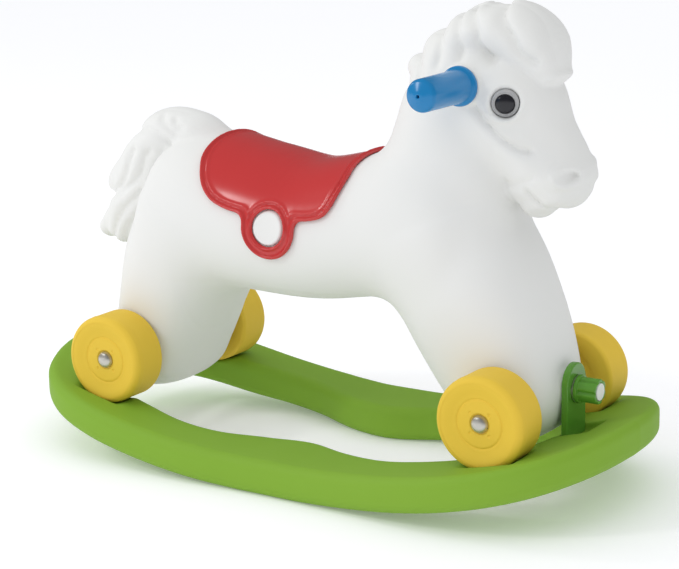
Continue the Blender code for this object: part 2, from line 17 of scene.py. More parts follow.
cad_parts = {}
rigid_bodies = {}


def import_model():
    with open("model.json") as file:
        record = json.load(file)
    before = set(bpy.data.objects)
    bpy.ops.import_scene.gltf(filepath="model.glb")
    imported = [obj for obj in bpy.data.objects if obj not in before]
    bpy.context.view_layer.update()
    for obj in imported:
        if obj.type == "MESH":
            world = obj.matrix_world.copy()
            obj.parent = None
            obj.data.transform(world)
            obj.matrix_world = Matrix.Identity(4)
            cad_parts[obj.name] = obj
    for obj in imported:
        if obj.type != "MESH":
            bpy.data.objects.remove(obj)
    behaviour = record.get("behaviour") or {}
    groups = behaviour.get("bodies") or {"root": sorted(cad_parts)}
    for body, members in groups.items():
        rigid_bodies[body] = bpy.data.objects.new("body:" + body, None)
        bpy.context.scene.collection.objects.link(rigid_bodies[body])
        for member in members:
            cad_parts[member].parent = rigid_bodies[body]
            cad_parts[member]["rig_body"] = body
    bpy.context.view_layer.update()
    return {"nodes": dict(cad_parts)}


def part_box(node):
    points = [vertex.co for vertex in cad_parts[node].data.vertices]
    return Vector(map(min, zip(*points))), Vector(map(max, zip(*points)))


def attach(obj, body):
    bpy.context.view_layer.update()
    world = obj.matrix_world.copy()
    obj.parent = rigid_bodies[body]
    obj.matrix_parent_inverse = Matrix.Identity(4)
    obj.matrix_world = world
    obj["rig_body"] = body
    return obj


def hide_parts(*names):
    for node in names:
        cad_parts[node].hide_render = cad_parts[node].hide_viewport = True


log = logging.getLogger("rocking_horse")

Array = np.ndarray
Path = tuple[tuple[float, ...], ...]
Bend = Callable[[Array, Array], Array]


# ---- shader maths --------------------------------------------------------------------------------


class Sock:
    """A shader output that can be used in Python arithmetic; each operator adds one Math node."""

    def __init__(self, graph: "Graph", out: bpy.types.NodeSocket) -> None:
        """Wraps one output of a node of the graph."""
        self.graph = graph
        self.out = out

    def math(self, operation: str, *values: "Sock | float") -> "Sock":
        """Adds a Math node.

        Args:
            operation: the node's operation.
            values: its inputs, in order.

        Returns:
            The node's result.
        """
        return self.graph.node("ShaderNodeMath", {"operation": operation}, dict(enumerate(values)))

    def __add__(self, other: "Sock | float") -> "Sock":
        """self + other."""
        return self.math("ADD", self, other)

    def __radd__(self, other: float) -> "Sock":
        """other + self."""
        return self.math("ADD", other, self)

    def __sub__(self, other: "Sock | float") -> "Sock":
        """self - other."""
        return self.math("SUBTRACT", self, other)

    def __rsub__(self, other: float) -> "Sock":
        """other - self."""
        return self.math("SUBTRACT", other, self)

    def __mul__(self, other: "Sock | float") -> "Sock":
        """self * other."""
        return self.math("MULTIPLY", self, other)

    def __rmul__(self, other: float) -> "Sock":
        """other * self."""
        return self.math("MULTIPLY", other, self)

    def __truediv__(self, other: "Sock | float") -> "Sock":
        """self / other."""
        return self.math("DIVIDE", self, other)

    def __abs__(self) -> "Sock":
        """The absolute value."""
        return self.math("ABSOLUTE", self)

    def step(self, low: float, high: float) -> "Sock":
        """A smooth step.

        Args:
            low: value where the result is 0.
            high: value where the result is 1; it may lie below low.

        Returns:
            The eased value between 0 and 1.
        """
        turned = low > high
        ends = (high, low, 1.0, 0.0) if turned else (low, high, 0.0, 1.0)
        inputs = dict(zip(("Value", "From Min", "From Max", "To Min", "To Max"), (self, *ends)))
        return self.graph.node("ShaderNodeMapRange", {"interpolation_type": "SMOOTHSTEP"}, inputs)


class Graph:
    """A material and its node tree, with one Principled shader as its surface."""

    def __init__(self, name: str) -> None:
        """Makes the material with an empty tree, a shader and an output.

        Args:
            name: of the material.
        """
        self.material = bpy.data.materials.new(name)
        self.material.use_nodes = True
        self.tree = self.material.node_tree
        self.tree.nodes.clear()
        self.shader = self.tree.nodes.new("ShaderNodeBsdfPrincipled")
        output = self.tree.nodes.new("ShaderNodeOutputMaterial")
        self.tree.links.new(self.shader.outputs[0], output.inputs["Surface"])

    def node(
        self,
        kind: str,
        settings: dict[str, object],
        inputs: "dict[int | str, Sock | float | tuple]",
        output: int | str = 0,
    ) -> Sock:
        """Adds a node.

        Args:
            kind: the node's type.
            settings: its properties, set first.
            inputs: values or links of its sockets, by name or number.
            output: the output wanted.

        Returns:
            That output.
        """
        made = self.tree.nodes.new(kind)
        for key, value in settings.items():
            setattr(made, key, value)
        for key, value in inputs.items():
            if isinstance(value, Sock):
                self.tree.links.new(value.out, made.inputs[key])
            else:
                made.inputs[key].default_value = value
        return Sock(self, made.outputs[output])

    def place(self) -> Sock:
        """The point's own Object coordinates."""
        return self.node("ShaderNodeTexCoord", {}, {}, "Object")

    def axes(self, place: Sock) -> tuple[Sock, Sock, Sock]:
        """The three numbers of a vector."""
        parts = self.node("ShaderNodeSeparateXYZ", {}, {0: place}).out.node
        return Sock(self, parts.outputs[0]), Sock(self, parts.outputs[1]), Sock(self, parts.outputs[2])

    def stretched(self, place: Sock, scale: tuple[float, float, float]) -> Sock:
        """The place with each axis scaled, for a pattern that runs along one of them."""
        return self.node("ShaderNodeMapping", {}, {"Vector": place, "Scale": scale})

    def noise(self, place: Sock, scale: float, detail: float = 3.0, rough: float = 0.55) -> Sock:
        """Cloudy variation between 0 and 1.

        Args:
            place: the vector it is read at.
            scale: lumps per metre.
            detail: octaves.
            rough: share that each octave keeps.

        Returns:
            The value, around 0.5.
        """
        inputs = {"Vector": place, "Scale": scale, "Detail": detail, "Roughness": rough}
        return self.node("ShaderNodeTexNoise", {}, inputs)

    def mix(self, share: Sock, first: "Sock | tuple", second: "Sock | tuple") -> Sock:
        """Blends two colours.

        Args:
            share: how much of the second one.
            first: colour or link at 0.
            second: colour or link at 1.

        Returns:
            The colour.
        """
        return self.node("ShaderNodeMix", {"data_type": "RGBA"}, {0: share, 6: first, 7: second}, 2)

    def constant(self, **values: float) -> None:
        """Sets numbers on the shader's own sockets, with _ for a space in their names."""
        for name, value in values.items():
            self.shader.inputs[name.replace("_", " ")].default_value = value

    def feed(self, name: str, value: Sock) -> None:
        """Links a value to one of the shader's sockets."""
        self.tree.links.new(value.out, self.shader.inputs[name])

    def relief(self, height: Sock, distance: float, strength: float = 1.0) -> None:
        """Bumps the surface.

        Args:
            height: relief, 1 standing one distance proud.
            distance: metres.
            strength: 0 to 1.
        """
        inputs = {"Height": height, "Distance": distance, "Strength": strength}
        self.feed("Normal", self.node("ShaderNodeBump", {}, inputs, "Normal"))


def rgba(colour: tuple[float, float, float], gain: float = 1.0) -> tuple[float, float, float, float]:
    """A linear colour times a gain, with full alpha."""
    return tuple(min(1.0, part * gain) for part in colour) + (1.0,)


@dataclass(frozen=True)
class BlownShell:
    """White blow-moulded polyethylene: fine drawn grain, soft sheen, and a parting line at Y = 0."""

    name: str = "white_shell"
    colour: tuple[float, float, float] = (0.545, 0.584, 0.580)
    roughness: float = 0.42
    gloss: float = 0.42
    grain: float = 420.0
    grain_height: float = 0.00038
    grain_stretch: float = 0.06
    cloud: float = 9.0
    speck: float = 2600.0
    line_width: float = 0.0011

    def material(self) -> bpy.types.Material:
        """The material."""
        graph = Graph(self.name)
        place = graph.place()
        _, across, _ = graph.axes(place)
        drawn = graph.noise(graph.stretched(place, (1.0, 1.0, self.grain_stretch)), self.grain, 4.0, 0.62)
        cloud = graph.noise(place, self.cloud, 3.0)
        speck = graph.noise(place, self.speck, 2.0)
        line = abs(across).step(self.line_width, self.line_width * 0.3)
        tint = graph.mix(cloud.step(0.3, 0.7), rgba(self.colour, 0.975), rgba(self.colour, 1.01))
        tint = graph.mix(drawn.step(0.42, 0.68) * 0.6, tint, rgba(self.colour, 0.94))
        tint = graph.mix(line * 0.35, tint, rgba(self.colour, 0.82))
        graph.feed("Base Color", tint)
        graph.feed("Roughness", self.roughness + (cloud - 0.5) * 0.10 + (drawn - 0.5) * 0.16)
        graph.relief(drawn * 0.75 + speck * 0.12 + line * 1.2, self.grain_height)
        graph.constant(IOR=1.5, Specular_IOR_Level=self.gloss)
        return graph.material


@dataclass(frozen=True)
class Moulded:
    """Coloured injection-moulded plastic: faint flow marks, pores and handling haze over a base gloss. A
    seam, where there is one, follows the arc z = x^2 / (2 * seam_curve) + seam_height."""

    name: str
    colour: tuple[float, float, float]
    roughness: float
    coat: float = 0.0
    gloss: float = 0.5
    pore: float = 1500.0
    pore_height: float = 0.00003
    flow: float = 14.0
    swing: float = 0.06
    wave: float = 95.0
    haze: float = 34.0
    seam_curve: float = 0.0
    seam_height: float = 0.0
    seam_width: float = 0.0011
    seam_crest: float = 0.0003
    seam_rise: float = 6.0
    coat_roughness: float = 0.06

    def material(self) -> bpy.types.Material:
        """The material."""
        graph = Graph(self.name)
        place = graph.place()
        flow = graph.noise(graph.stretched(place, (1.0, 1.0, 1.6)), self.flow, 4.0, 0.6)
        pore = graph.noise(place, self.pore, 3.0)
        wave = graph.noise(place, self.wave, 2.0)
        haze = graph.noise(place, self.haze, 5.0, 0.7)
        dark, pale = rgba(self.colour, 1.0 - self.swing), rgba(self.colour, 1.0 + self.swing)
        tint = graph.mix(flow.step(0.25, 0.75), dark, pale)
        height = pore * 0.35 + wave * 1.6
        if self.seam_curve:
            run, _, high = graph.axes(place)
            level = run * run / (2.0 * self.seam_curve) + self.seam_height
            seam = abs(high - level).step(self.seam_width, self.seam_crest)
            height = height + seam * self.seam_rise
            tint = graph.mix(seam * 0.25, tint, rgba(self.colour, 0.6))
        graph.feed("Base Color", tint)
        graph.feed("Roughness", self.roughness + (haze - 0.5) * 0.12 + (pore - 0.5) * 0.05)
        graph.relief(height, self.pore_height)
        graph.constant(Coat_Weight=self.coat, Coat_Roughness=self.coat_roughness)
        graph.constant(IOR=1.5, Specular_IOR_Level=self.gloss)
        return graph.material


@dataclass(frozen=True)
class Plated:
    """Zinc-plated steel: fine turning lines, slightly clouded."""

    name: str = "zinc_steel"
    colour: tuple[float, float, float] = (0.66, 0.63, 0.57)
    roughness: float = 0.24
    cloud: float = 160.0
    turning: float = 2400.0
    turning_height: float = 0.00004

    def material(self) -> bpy.types.Material:
        """The material."""
        graph = Graph(self.name)
        place = graph.place()
        cloud = graph.noise(place, self.cloud, 4.0, 0.65)
        fine = graph.noise(place, self.turning, 2.0)
        dark, pale = rgba(self.colour, 0.78), rgba(self.colour, 1.1)
        graph.feed("Base Color", graph.mix(cloud.step(0.3, 0.7), dark, pale))
        graph.feed("Roughness", self.roughness + (cloud - 0.5) * 0.22)
        graph.relief(fine * 0.5 + cloud, self.turning_height)
        graph.constant(Metallic=1.0)
        return graph.material


class Finish(enum.Enum):
    """The finishes of the horse, each named for the record's material slot."""

    SHELL = BlownShell()
    SADDLE = Moulded("red_saddle", (0.430, 0.006, 0.008), 0.15, gloss=0.40, flow=8.0, swing=0.05)
    ROCKER = Moulded(
        "green_rocker",
        (0.200, 0.370, 0.003),
        0.32,
        gloss=0.25,
        flow=10.0,
        seam_curve=1.12,
        seam_height=0.0202,
    )
    LOCK = Moulded("green_lock", (0.115, 0.510, 0.042), 0.28, gloss=0.3)
    WHEEL = Moulded("yellow_wheel", (0.89, 0.570, 0.010), 0.31, gloss=0.28, flow=22.0)
    GRIP = Moulded("blue_grip", (0.0, 0.320, 0.780), 0.13, gloss=0.40, flow=30.0)
    STEEL = Plated()
    BEZEL = Moulded("eye_grey", (0.44, 0.44, 0.43), 0.28, coat=0.2, flow=60.0)
    PUPIL = Moulded("eye_black", (0.006, 0.006, 0.007), 0.08, coat=0.4, flow=60.0)

    def get(self) -> bpy.types.Material:
        """The finish's material, made once."""
        return bpy.data.materials.get(self.value.name) or self.value.material()


# ---- shapes --------------------------------------------------------------------------------------


def spline(knots: Array, count: int) -> Array:
    """A smooth path through knots: on each span, a cubic whose slope at a knot is half the step between the
    knots on either side of it.

    Args:
        knots: one row per knot.
        count: how many points, even in parameter.

    Returns:
        The points, one per row.
    """
    knots = np.asarray(knots, float)
    padded = np.vstack([2 * knots[0] - knots[1], knots, 2 * knots[-1] - knots[-2]])
    where = np.linspace(0, len(knots) - 1, count)
    start = np.minimum(where.astype(int), len(knots) - 2)
    t = (where - start)[:, None]
    a, b, c, d = (padded[start + k] for k in range(4))
    bent = (2 * a - 5 * b + 4 * c - d) * t**2 + (3 * (b - c) + d - a) * t**3
    return 0.5 * (2 * b + (c - a) * t + bent)


def smooth_min(a: Array, b: Array, radius: float) -> Array:
    """The lower of two fields, with the corner between them filled over a radius."""
    h = np.clip(radius - np.abs(a - b), 0, None)
    return np.minimum(a, b) - h * h / (4 * radius)


def smooth_max(a: Array, b: Array, radius: float) -> Array:
    """The higher of two fields, with the edge between them rounded over a radius."""
    return -smooth_min(-a, -b, radius)


def ease(value: Array, low: float, high: float) -> Array:
    """0 at low, 1 at high, eased between them."""
    t = np.clip((value - low) / (high - low), 0, 1)
    return t * t * (3 - 2 * t)


def bell(value: Array, middle: float, width: float) -> Array:
    """A bell of height 1 round the middle: exp(-((value - middle) / width)^2)."""
    return np.exp(-(((value - middle) / width) ** 2))


def softened(values: Array, rounds: int) -> Array:
    """A field with its kinks eased: each value becomes half its own and a quarter of either neighbour's,
    along each axis in turn, mirrored at the grid's edges.

    Args:
        values: (nx, ny, nz).
        rounds: how often it is done.

    Returns:
        The eased field.
    """
    for _ in range(rounds):
        for axis in range(3):
            wide = np.pad(values, [(int(axis == k), int(axis == k)) for k in range(3)], mode="reflect")
            low, high = (np.take(wide, range(i, i + values.shape[axis]), axis) for i in (0, 2))
            values = 0.25 * low + 0.5 * values + 0.25 * high
    return values


def along(points: Array, path: Array) -> tuple[Array, Array, Array]:
    """Where each point lies beside a path: on every leg, the point is dropped square onto the leg, and the
    nearest leg counts.

    Args:
        points: (n, 2).
        path: (m, 2) corners.

    Returns:
        The distance, the place along the path in legs, and the run past the path's ends.
    """
    best = np.full(len(points), np.inf)
    place = np.zeros(len(points))
    over = np.zeros(len(points))
    for i, (start, stop) in enumerate(zip(path[:-1], path[1:])):
        leg = stop - start
        length = max(float(np.hypot(*leg)), 1e-9)
        raw = (points - start) @ leg / length**2
        t = np.clip(raw, 0, 1)
        gap = np.hypot(*(points - start - t[:, None] * leg).T)
        near = gap < best
        best = np.where(near, gap, best)
        place = np.where(near, i + t, place)
        over = np.where(near, (raw - t) * length, over)
    inner = (place > 0) & (place < len(path) - 1)
    return best, place, np.where(inner, 0.0, np.abs(over))


def polygon_distance(points: Array, corners: Array) -> Array:
    """Distance to a closed outline, negative inside: the distance to its nearest side, with the sign from
    how many sides a level line to the right crosses.

    Args:
        points: (n, 2).
        corners: (m, 2).

    Returns:
        The signed distances.
    """
    ring = np.vstack([corners, corners[:1]])
    gap, _, _ = along(points, ring)
    inside = np.zeros(len(points), bool)
    for (ax, ay), (bx, by) in zip(ring[:-1], ring[1:]):
        if ay == by:
            continue
        crosses = (points[:, 1] < ay) != (points[:, 1] < by)
        inside ^= crosses & (points[:, 0] < ax + (points[:, 1] - ay) / (by - ay) * (bx - ax))
    return np.where(inside, -gap, gap)


@dataclass(frozen=True)
class Limb:
    """A limb of the shell. A station is (x, z, half-depth, half-width, squareness), the middle, sizes and
    superellipse power of one section; a lock of hair stands off the middle plane by its offset."""

    stations: Path
    blend: float = 0.02
    cap: float = 2.4
    offset: float = 0.0
    count: int = 48

    def section(self, x: Array, z: Array) -> Array:
        """The section beside each point of the plane Y = 0.

        Args:
            x: coordinates.
            z: coordinates.

        Returns:
            (4, ...): distance from the limb's middle line, half-depth, half-width and power.
        """
        path = spline(np.array(self.stations), self.count)
        gap, place, over = along(np.column_stack([x.ravel(), z.ravel()]), path[:, :2])
        gap = np.sqrt(np.maximum(gap**2 - over**2, 0) + (over * self.cap) ** 2)
        steps = np.arange(self.count)
        rows = [gap, *(np.interp(place, steps, path[:, k]) for k in (2, 3, 4))]
        return np.array(rows).reshape(4, *x.shape)

    def distance(self, section: Array, y: Array) -> Array:
        """Roughly the distance to the limb's surface, negative inside: with g the power mean of gap over
        depth and |y| over width, (g - 1) over the length of g's slope.

        Args:
            section: what section() gave.
            y: coordinates that broadcast with it.

        Returns:
            The distances.
        """
        gap, depth, width, power = section
        a, b = gap / depth, np.abs(np.abs(y) - self.offset) / width
        a, b = np.maximum(a, 1e-4), np.maximum(b, 1e-4)
        g = (a**power + b**power) ** (1 / power)
        slope = np.hypot((a / g) ** (power - 1) / depth, (b / g) ** (power - 1) / width)
        return (g - 1) / slope


def fused(limbs: tuple[Limb, ...], x: Array, y: Array, z: Array, start: Array | None = None) -> Array:
    """The field of limbs joined one after the other, each blended in over its own radius.

    Args:
        limbs: in order.
        x: (nx, nz) coordinates.
        y: (ny,) coordinates.
        z: (nx, nz) coordinates.
        start: a field that they are added to, or none.

    Returns:
        (nx, ny, nz).
    """
    total = start
    for limb in limbs:
        part = limb.distance(limb.section(x, z)[:, :, None, :], y[None, :, None])
        total = part if total is None else smooth_min(total, part, limb.blend)
    return total


@dataclass(frozen=True)
class Groove:
    """A crease in side view: at a distance d from its line it sinks by depth * exp(-(d / width)^1.25),
    less towards its ends."""

    line: Path
    depth: float
    width: float
    fade: float = 0.012

    def sink(self, x: Array, z: Array) -> Array:
        """How far the surface sinks.

        Args:
            x: coordinates in the plane Y = 0.
            z: coordinates.

        Returns:
            The depths.
        """
        path = spline(np.array(self.line), 24)
        gap, place, over = along(np.column_stack([x.ravel(), z.ravel()]), path)
        run = np.concatenate([[0], np.cumsum(np.hypot(*np.diff(path, axis=0).T))])
        where = np.interp(place, np.arange(len(run)), run)
        ends = np.minimum(where, run[-1] - where) + 0.003
        shape = np.exp(-((gap / self.width) ** 1.25)) * ease(ends, 0, self.fade)
        return (self.depth * shape).reshape(x.shape)


@dataclass
class Field:
    """A solid held as a signed field on a grid of unevenly spaced planes, negative inside."""

    xs: Array
    ys: Array
    zs: Array
    values: Array

    def read(self, points: Array, values: Array | None = None) -> Array:
        """The field between the planes, linear in each direction.

        Args:
            points: (n, 3).
            values: another array on the same grid, (nx, ny, nz) or (nx, ny, nz, k).

        Returns:
            One value, or k values, per point.
        """
        values = self.values if values is None else values
        cells, shares = [], []
        for planes, coordinate in zip((self.xs, self.ys, self.zs), points.T):
            cell = np.clip(np.searchsorted(planes, coordinate) - 1, 0, len(planes) - 2)
            share = np.clip((coordinate - planes[cell]) / (planes[cell + 1] - planes[cell]), 0, 1)
            cells.append(cell)
            shares.append(share)
        total = 0.0
        for corner in range(8):
            steps = [(corner >> k) & 1 for k in range(3)]
            weight = np.prod([s if step else 1 - s for s, step in zip(shares, steps)], axis=0)
            part = values[tuple(c + step for c, step in zip(cells, steps))]
            total = total + (weight[:, None] * part if part.ndim == 2 else weight * part)
        return total

    def slopes(self) -> Array:
        """The field's slope along each axis, (nx, ny, nz, 3)."""
        return np.stack(np.gradient(self.values, self.xs, self.ys, self.zs), axis=-1)

    def crossing_mean(self) -> tuple[Array, Array]:
        """One point in every cell that the surface passes: the mean of where it cuts the cell's edges.

        Returns:
            The points, and the cells' numbers as (nx-1, ny-1, nz-1), -1 where the surface doesn't pass.
        """
        f = self.values
        shape = tuple(n - 1 for n in f.shape)
        total = np.zeros((*shape, 3))
        count = np.zeros(shape)
        grids = np.stack(np.meshgrid(self.xs, self.ys, self.zs, indexing="ij"), axis=-1)
        for axis in range(3):
            low = [slice(None)] * 3
            high = [slice(None)] * 3
            low[axis], high[axis] = slice(None, -1), slice(1, None)
            a, b = f[tuple(low)], f[tuple(high)]
            cut = (a < 0) != (b < 0)
            t = np.where(cut, a / np.where(cut, a - b, 1.0), 0.0)[..., None]
            point = (grids[tuple(low)] * (1 - t) + grids[tuple(high)] * t) * cut[..., None]
            others = [k for k in range(3) if k != axis]
            for first in (0, 1):
                for second in (0, 1):
                    pick = [slice(None)] * 3
                    pick[others[0]] = slice(first, first + shape[others[0]])
                    pick[others[1]] = slice(second, second + shape[others[1]])
                    total += point[tuple(pick)]
                    count += cut[tuple(pick)]
        used = count > 0
        number = np.where(used, np.cumsum(used).reshape(shape) - 1, -1)
        return total[used] / count[used][:, None], number

    def quads(self, number: Array) -> Array:
        """One face across every grid edge that the surface cuts, its corners the four cells round it,
        facing outwards.

        Args:
            number: the cells' numbers, as crossing_mean() gave them.

        Returns:
            (m, 4) point numbers.
        """
        faces = []
        for axis in range(3):
            u, v = (axis + 1) % 3, (axis + 2) % 3
            low = [slice(1, -1)] * 3
            high = [slice(1, -1)] * 3
            low[axis], high[axis] = slice(None, -1), slice(1, None)
            a, b = self.values[tuple(low)], self.values[tuple(high)]
            corners = []
            for du, dv in ((0, 0), (1, 0), (1, 1), (0, 1)):
                pick = [slice(None)] * 3
                pick[u] = slice(du, du + a.shape[u])
                pick[v] = slice(dv, dv + a.shape[v])
                corners.append(number[tuple(pick)])
            ring = np.stack(corners, axis=-1)
            out = (a < 0) & (b >= 0)
            back = (a >= 0) & (b < 0)
            faces += [ring[out], ring[back][:, ::-1]]
        return np.vstack(faces)

    def surface(self, rounds: int = 4, relax: float = 0.5) -> tuple[Array, Array]:
        """The closed surface where the field is zero. The points start at the crossing means; then, in
        rounds, each moves towards the mean of its neighbours and back along the slope to zero.

        Args:
            rounds: how many.
            relax: share of the way to the neighbours' mean.

        Returns:
            (n, 3) points and (m, 4) faces.
        """
        points, number = self.crossing_mean()
        faces = self.quads(number)
        ends = np.vstack([faces[:, [0, 1]], faces[:, [1, 2]], faces[:, [2, 3]], faces[:, [3, 0]]])
        degree = np.bincount(ends[:, 0], minlength=len(points))[:, None]
        slopes = self.slopes()
        for turn in range(rounds + 1):
            if turn:
                sums = [np.bincount(ends[:, 0], points[ends[:, 1], k], len(points)) for k in range(3)]
                points = points + relax * (np.stack(sums, axis=1) / degree - points)
            for _ in range(2):
                slope = self.read(points, slopes)
                steep = np.maximum((slope**2).sum(1), 0.05)
                step = (self.read(points) / steep)[:, None] * slope
                points = points - np.clip(step, -0.002, 0.002)
        return points, faces


def planes(*spans: tuple[float, float, float]) -> Array:
    """Grid planes over spans of (start, stop, pitch), with the spans joined end to end."""
    parts = [np.linspace(a, b, max(2, round((b - a) / pitch) + 1))[:-1] for a, b, pitch in spans]
    return np.append(np.concatenate(parts), spans[-1][1])


def mirrored(half: Array) -> Array:
    """Planes on both sides of zero from those at and above it."""
    return np.concatenate([-half[:0:-1], half])


def show(
    name: str,
    points: Array,
    faces: Array | list,
    finish: Finish,
    body: str = "root",
    stands_for: tuple[str, ...] = (),
    crease: float | None = None,
) -> bpy.types.Object:
    """Makes a finished piece.

    Args:
        name: of the object.
        points: (n, 3).
        faces: rows of point numbers.
        finish: its material and slot.
        body: the CAD body it rides.
        stands_for: the CAD nodes it replaces.
        crease: angle in degrees past which an edge stays sharp.

    Returns:
        The object.
    """
    mesh = bpy.data.meshes.new(name)
    mesh.from_pydata(points.tolist(), [], faces if isinstance(faces, list) else faces.tolist())
    mesh.validate()
    mesh.shade_smooth()
    if crease:
        mesh.set_sharp_from_angle(angle=math.radians(crease))
    mesh.materials.append(finish.get())
    piece = bpy.data.objects.new(name, mesh)
    bpy.context.scene.collection.objects.link(piece)
    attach(piece, body)
    if stands_for:
        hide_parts(*stands_for)
    log.info("%s: %d points, %d faces, on %s", name, len(mesh.vertices), len(mesh.polygons), body)
    return piece


def dress(nodes: dict[str, bpy.types.Object], names: list[str], finish: Finish) -> None:
    """Gives CAD nodes a finish, slot by slot.

    Args:
        nodes: the frame's nodes by name.
        names: those to dress.
        finish: theirs.
    """
    for name in names:
        node = nodes[name]
        if not node.material_slots:
            node.data.materials.append(None)
        for place in node.material_slots:
            place.material = finish.get()
        log.info("%s: %s", name, finish.value.name)


def turned(profile: Array, count: int, bend: Bend | None = None) -> tuple[Array, list]:
    """A turned surface: the profile (radius, height) carried round the height axis, closed at its poles
    where the radius is zero, with the height changed by bend(radius, angle).

    Args:
        profile: (m, 2), from the top middle outwards and down to the lower middle.
        count: points round the axis.
        bend: function of radius and angle arrays that gives an extra height, or none.

    Returns:
        (n, 3) points as (a, b, height) and the faces.
    """
    angle = np.linspace(0, 2 * math.pi, count, endpoint=False)
    radius, height = profile[1:-1, 0][:, None], profile[1:-1, 1][:, None]
    lift = bend(radius + 0 * angle, angle + 0 * radius) if bend else 0.0
    rings = np.stack([radius * np.cos(angle), radius * np.sin(angle), height + lift + 0 * angle], axis=-1)
    poles = np.array([[0, 0, profile[0, 1]], [0, 0, profile[-1, 1]]])
    points = np.vstack([rings.reshape(-1, 3), poles])
    first = np.arange(count)
    after = (first + 1) % count
    rows = np.arange(len(profile) - 3)[:, None] * count
    sides = np.stack([rows + first, rows + count + first, rows + count + after, rows + after], axis=-1)
    top, low = len(points) - 2, len(points) - 1
    last = (len(profile) - 3) * count
    faces = sides.reshape(-1, 4).tolist()
    faces += np.stack([np.full(count, top), first, after], axis=-1).tolist()
    faces += np.stack([np.full(count, low), last + after, last + first], axis=-1).tolist()
    return points, faces


def rounded(profile: Array, radius: float, steps: int = 5) -> Array:
    """A profile with each inner corner replaced by a curve that starts and ends a radius from it: with t
    from 0 to 1, (1-t)^2 start + 2t(1-t) corner + t^2 end.

    Args:
        profile: (m, 2) corners.
        radius: distance, at most 0.45 of either neighbouring leg.
        steps: points on each curve.

    Returns:
        The points.
    """
    made = [profile[:1]]
    t = np.linspace(0, 1, steps)[:, None]
    for before, corner, after in zip(profile[:-2], profile[1:-1], profile[2:]):
        back, on = before - corner, after - corner
        reach = min(radius, 0.45 * np.hypot(*back), 0.45 * np.hypot(*on))
        start = corner + back / np.hypot(*back) * reach
        stop = corner + on / np.hypot(*on) * reach
        made.append((1 - t) ** 2 * start + 2 * t * (1 - t) * corner + t**2 * stop)
    return np.vstack([*made, profile[-1:]])


def stood(points: Array, centre: tuple[float, float], side: int) -> Array:
    """Turned points with their height running out along Y on one side, about (x, z)."""
    a, b, height = points.T
    return np.column_stack([centre[0] + a, side * height, centre[1] - side * b])


SIDES = (("right", -1), ("left", 1))


# ---- horse ---------------------------------------------------------------------------------------


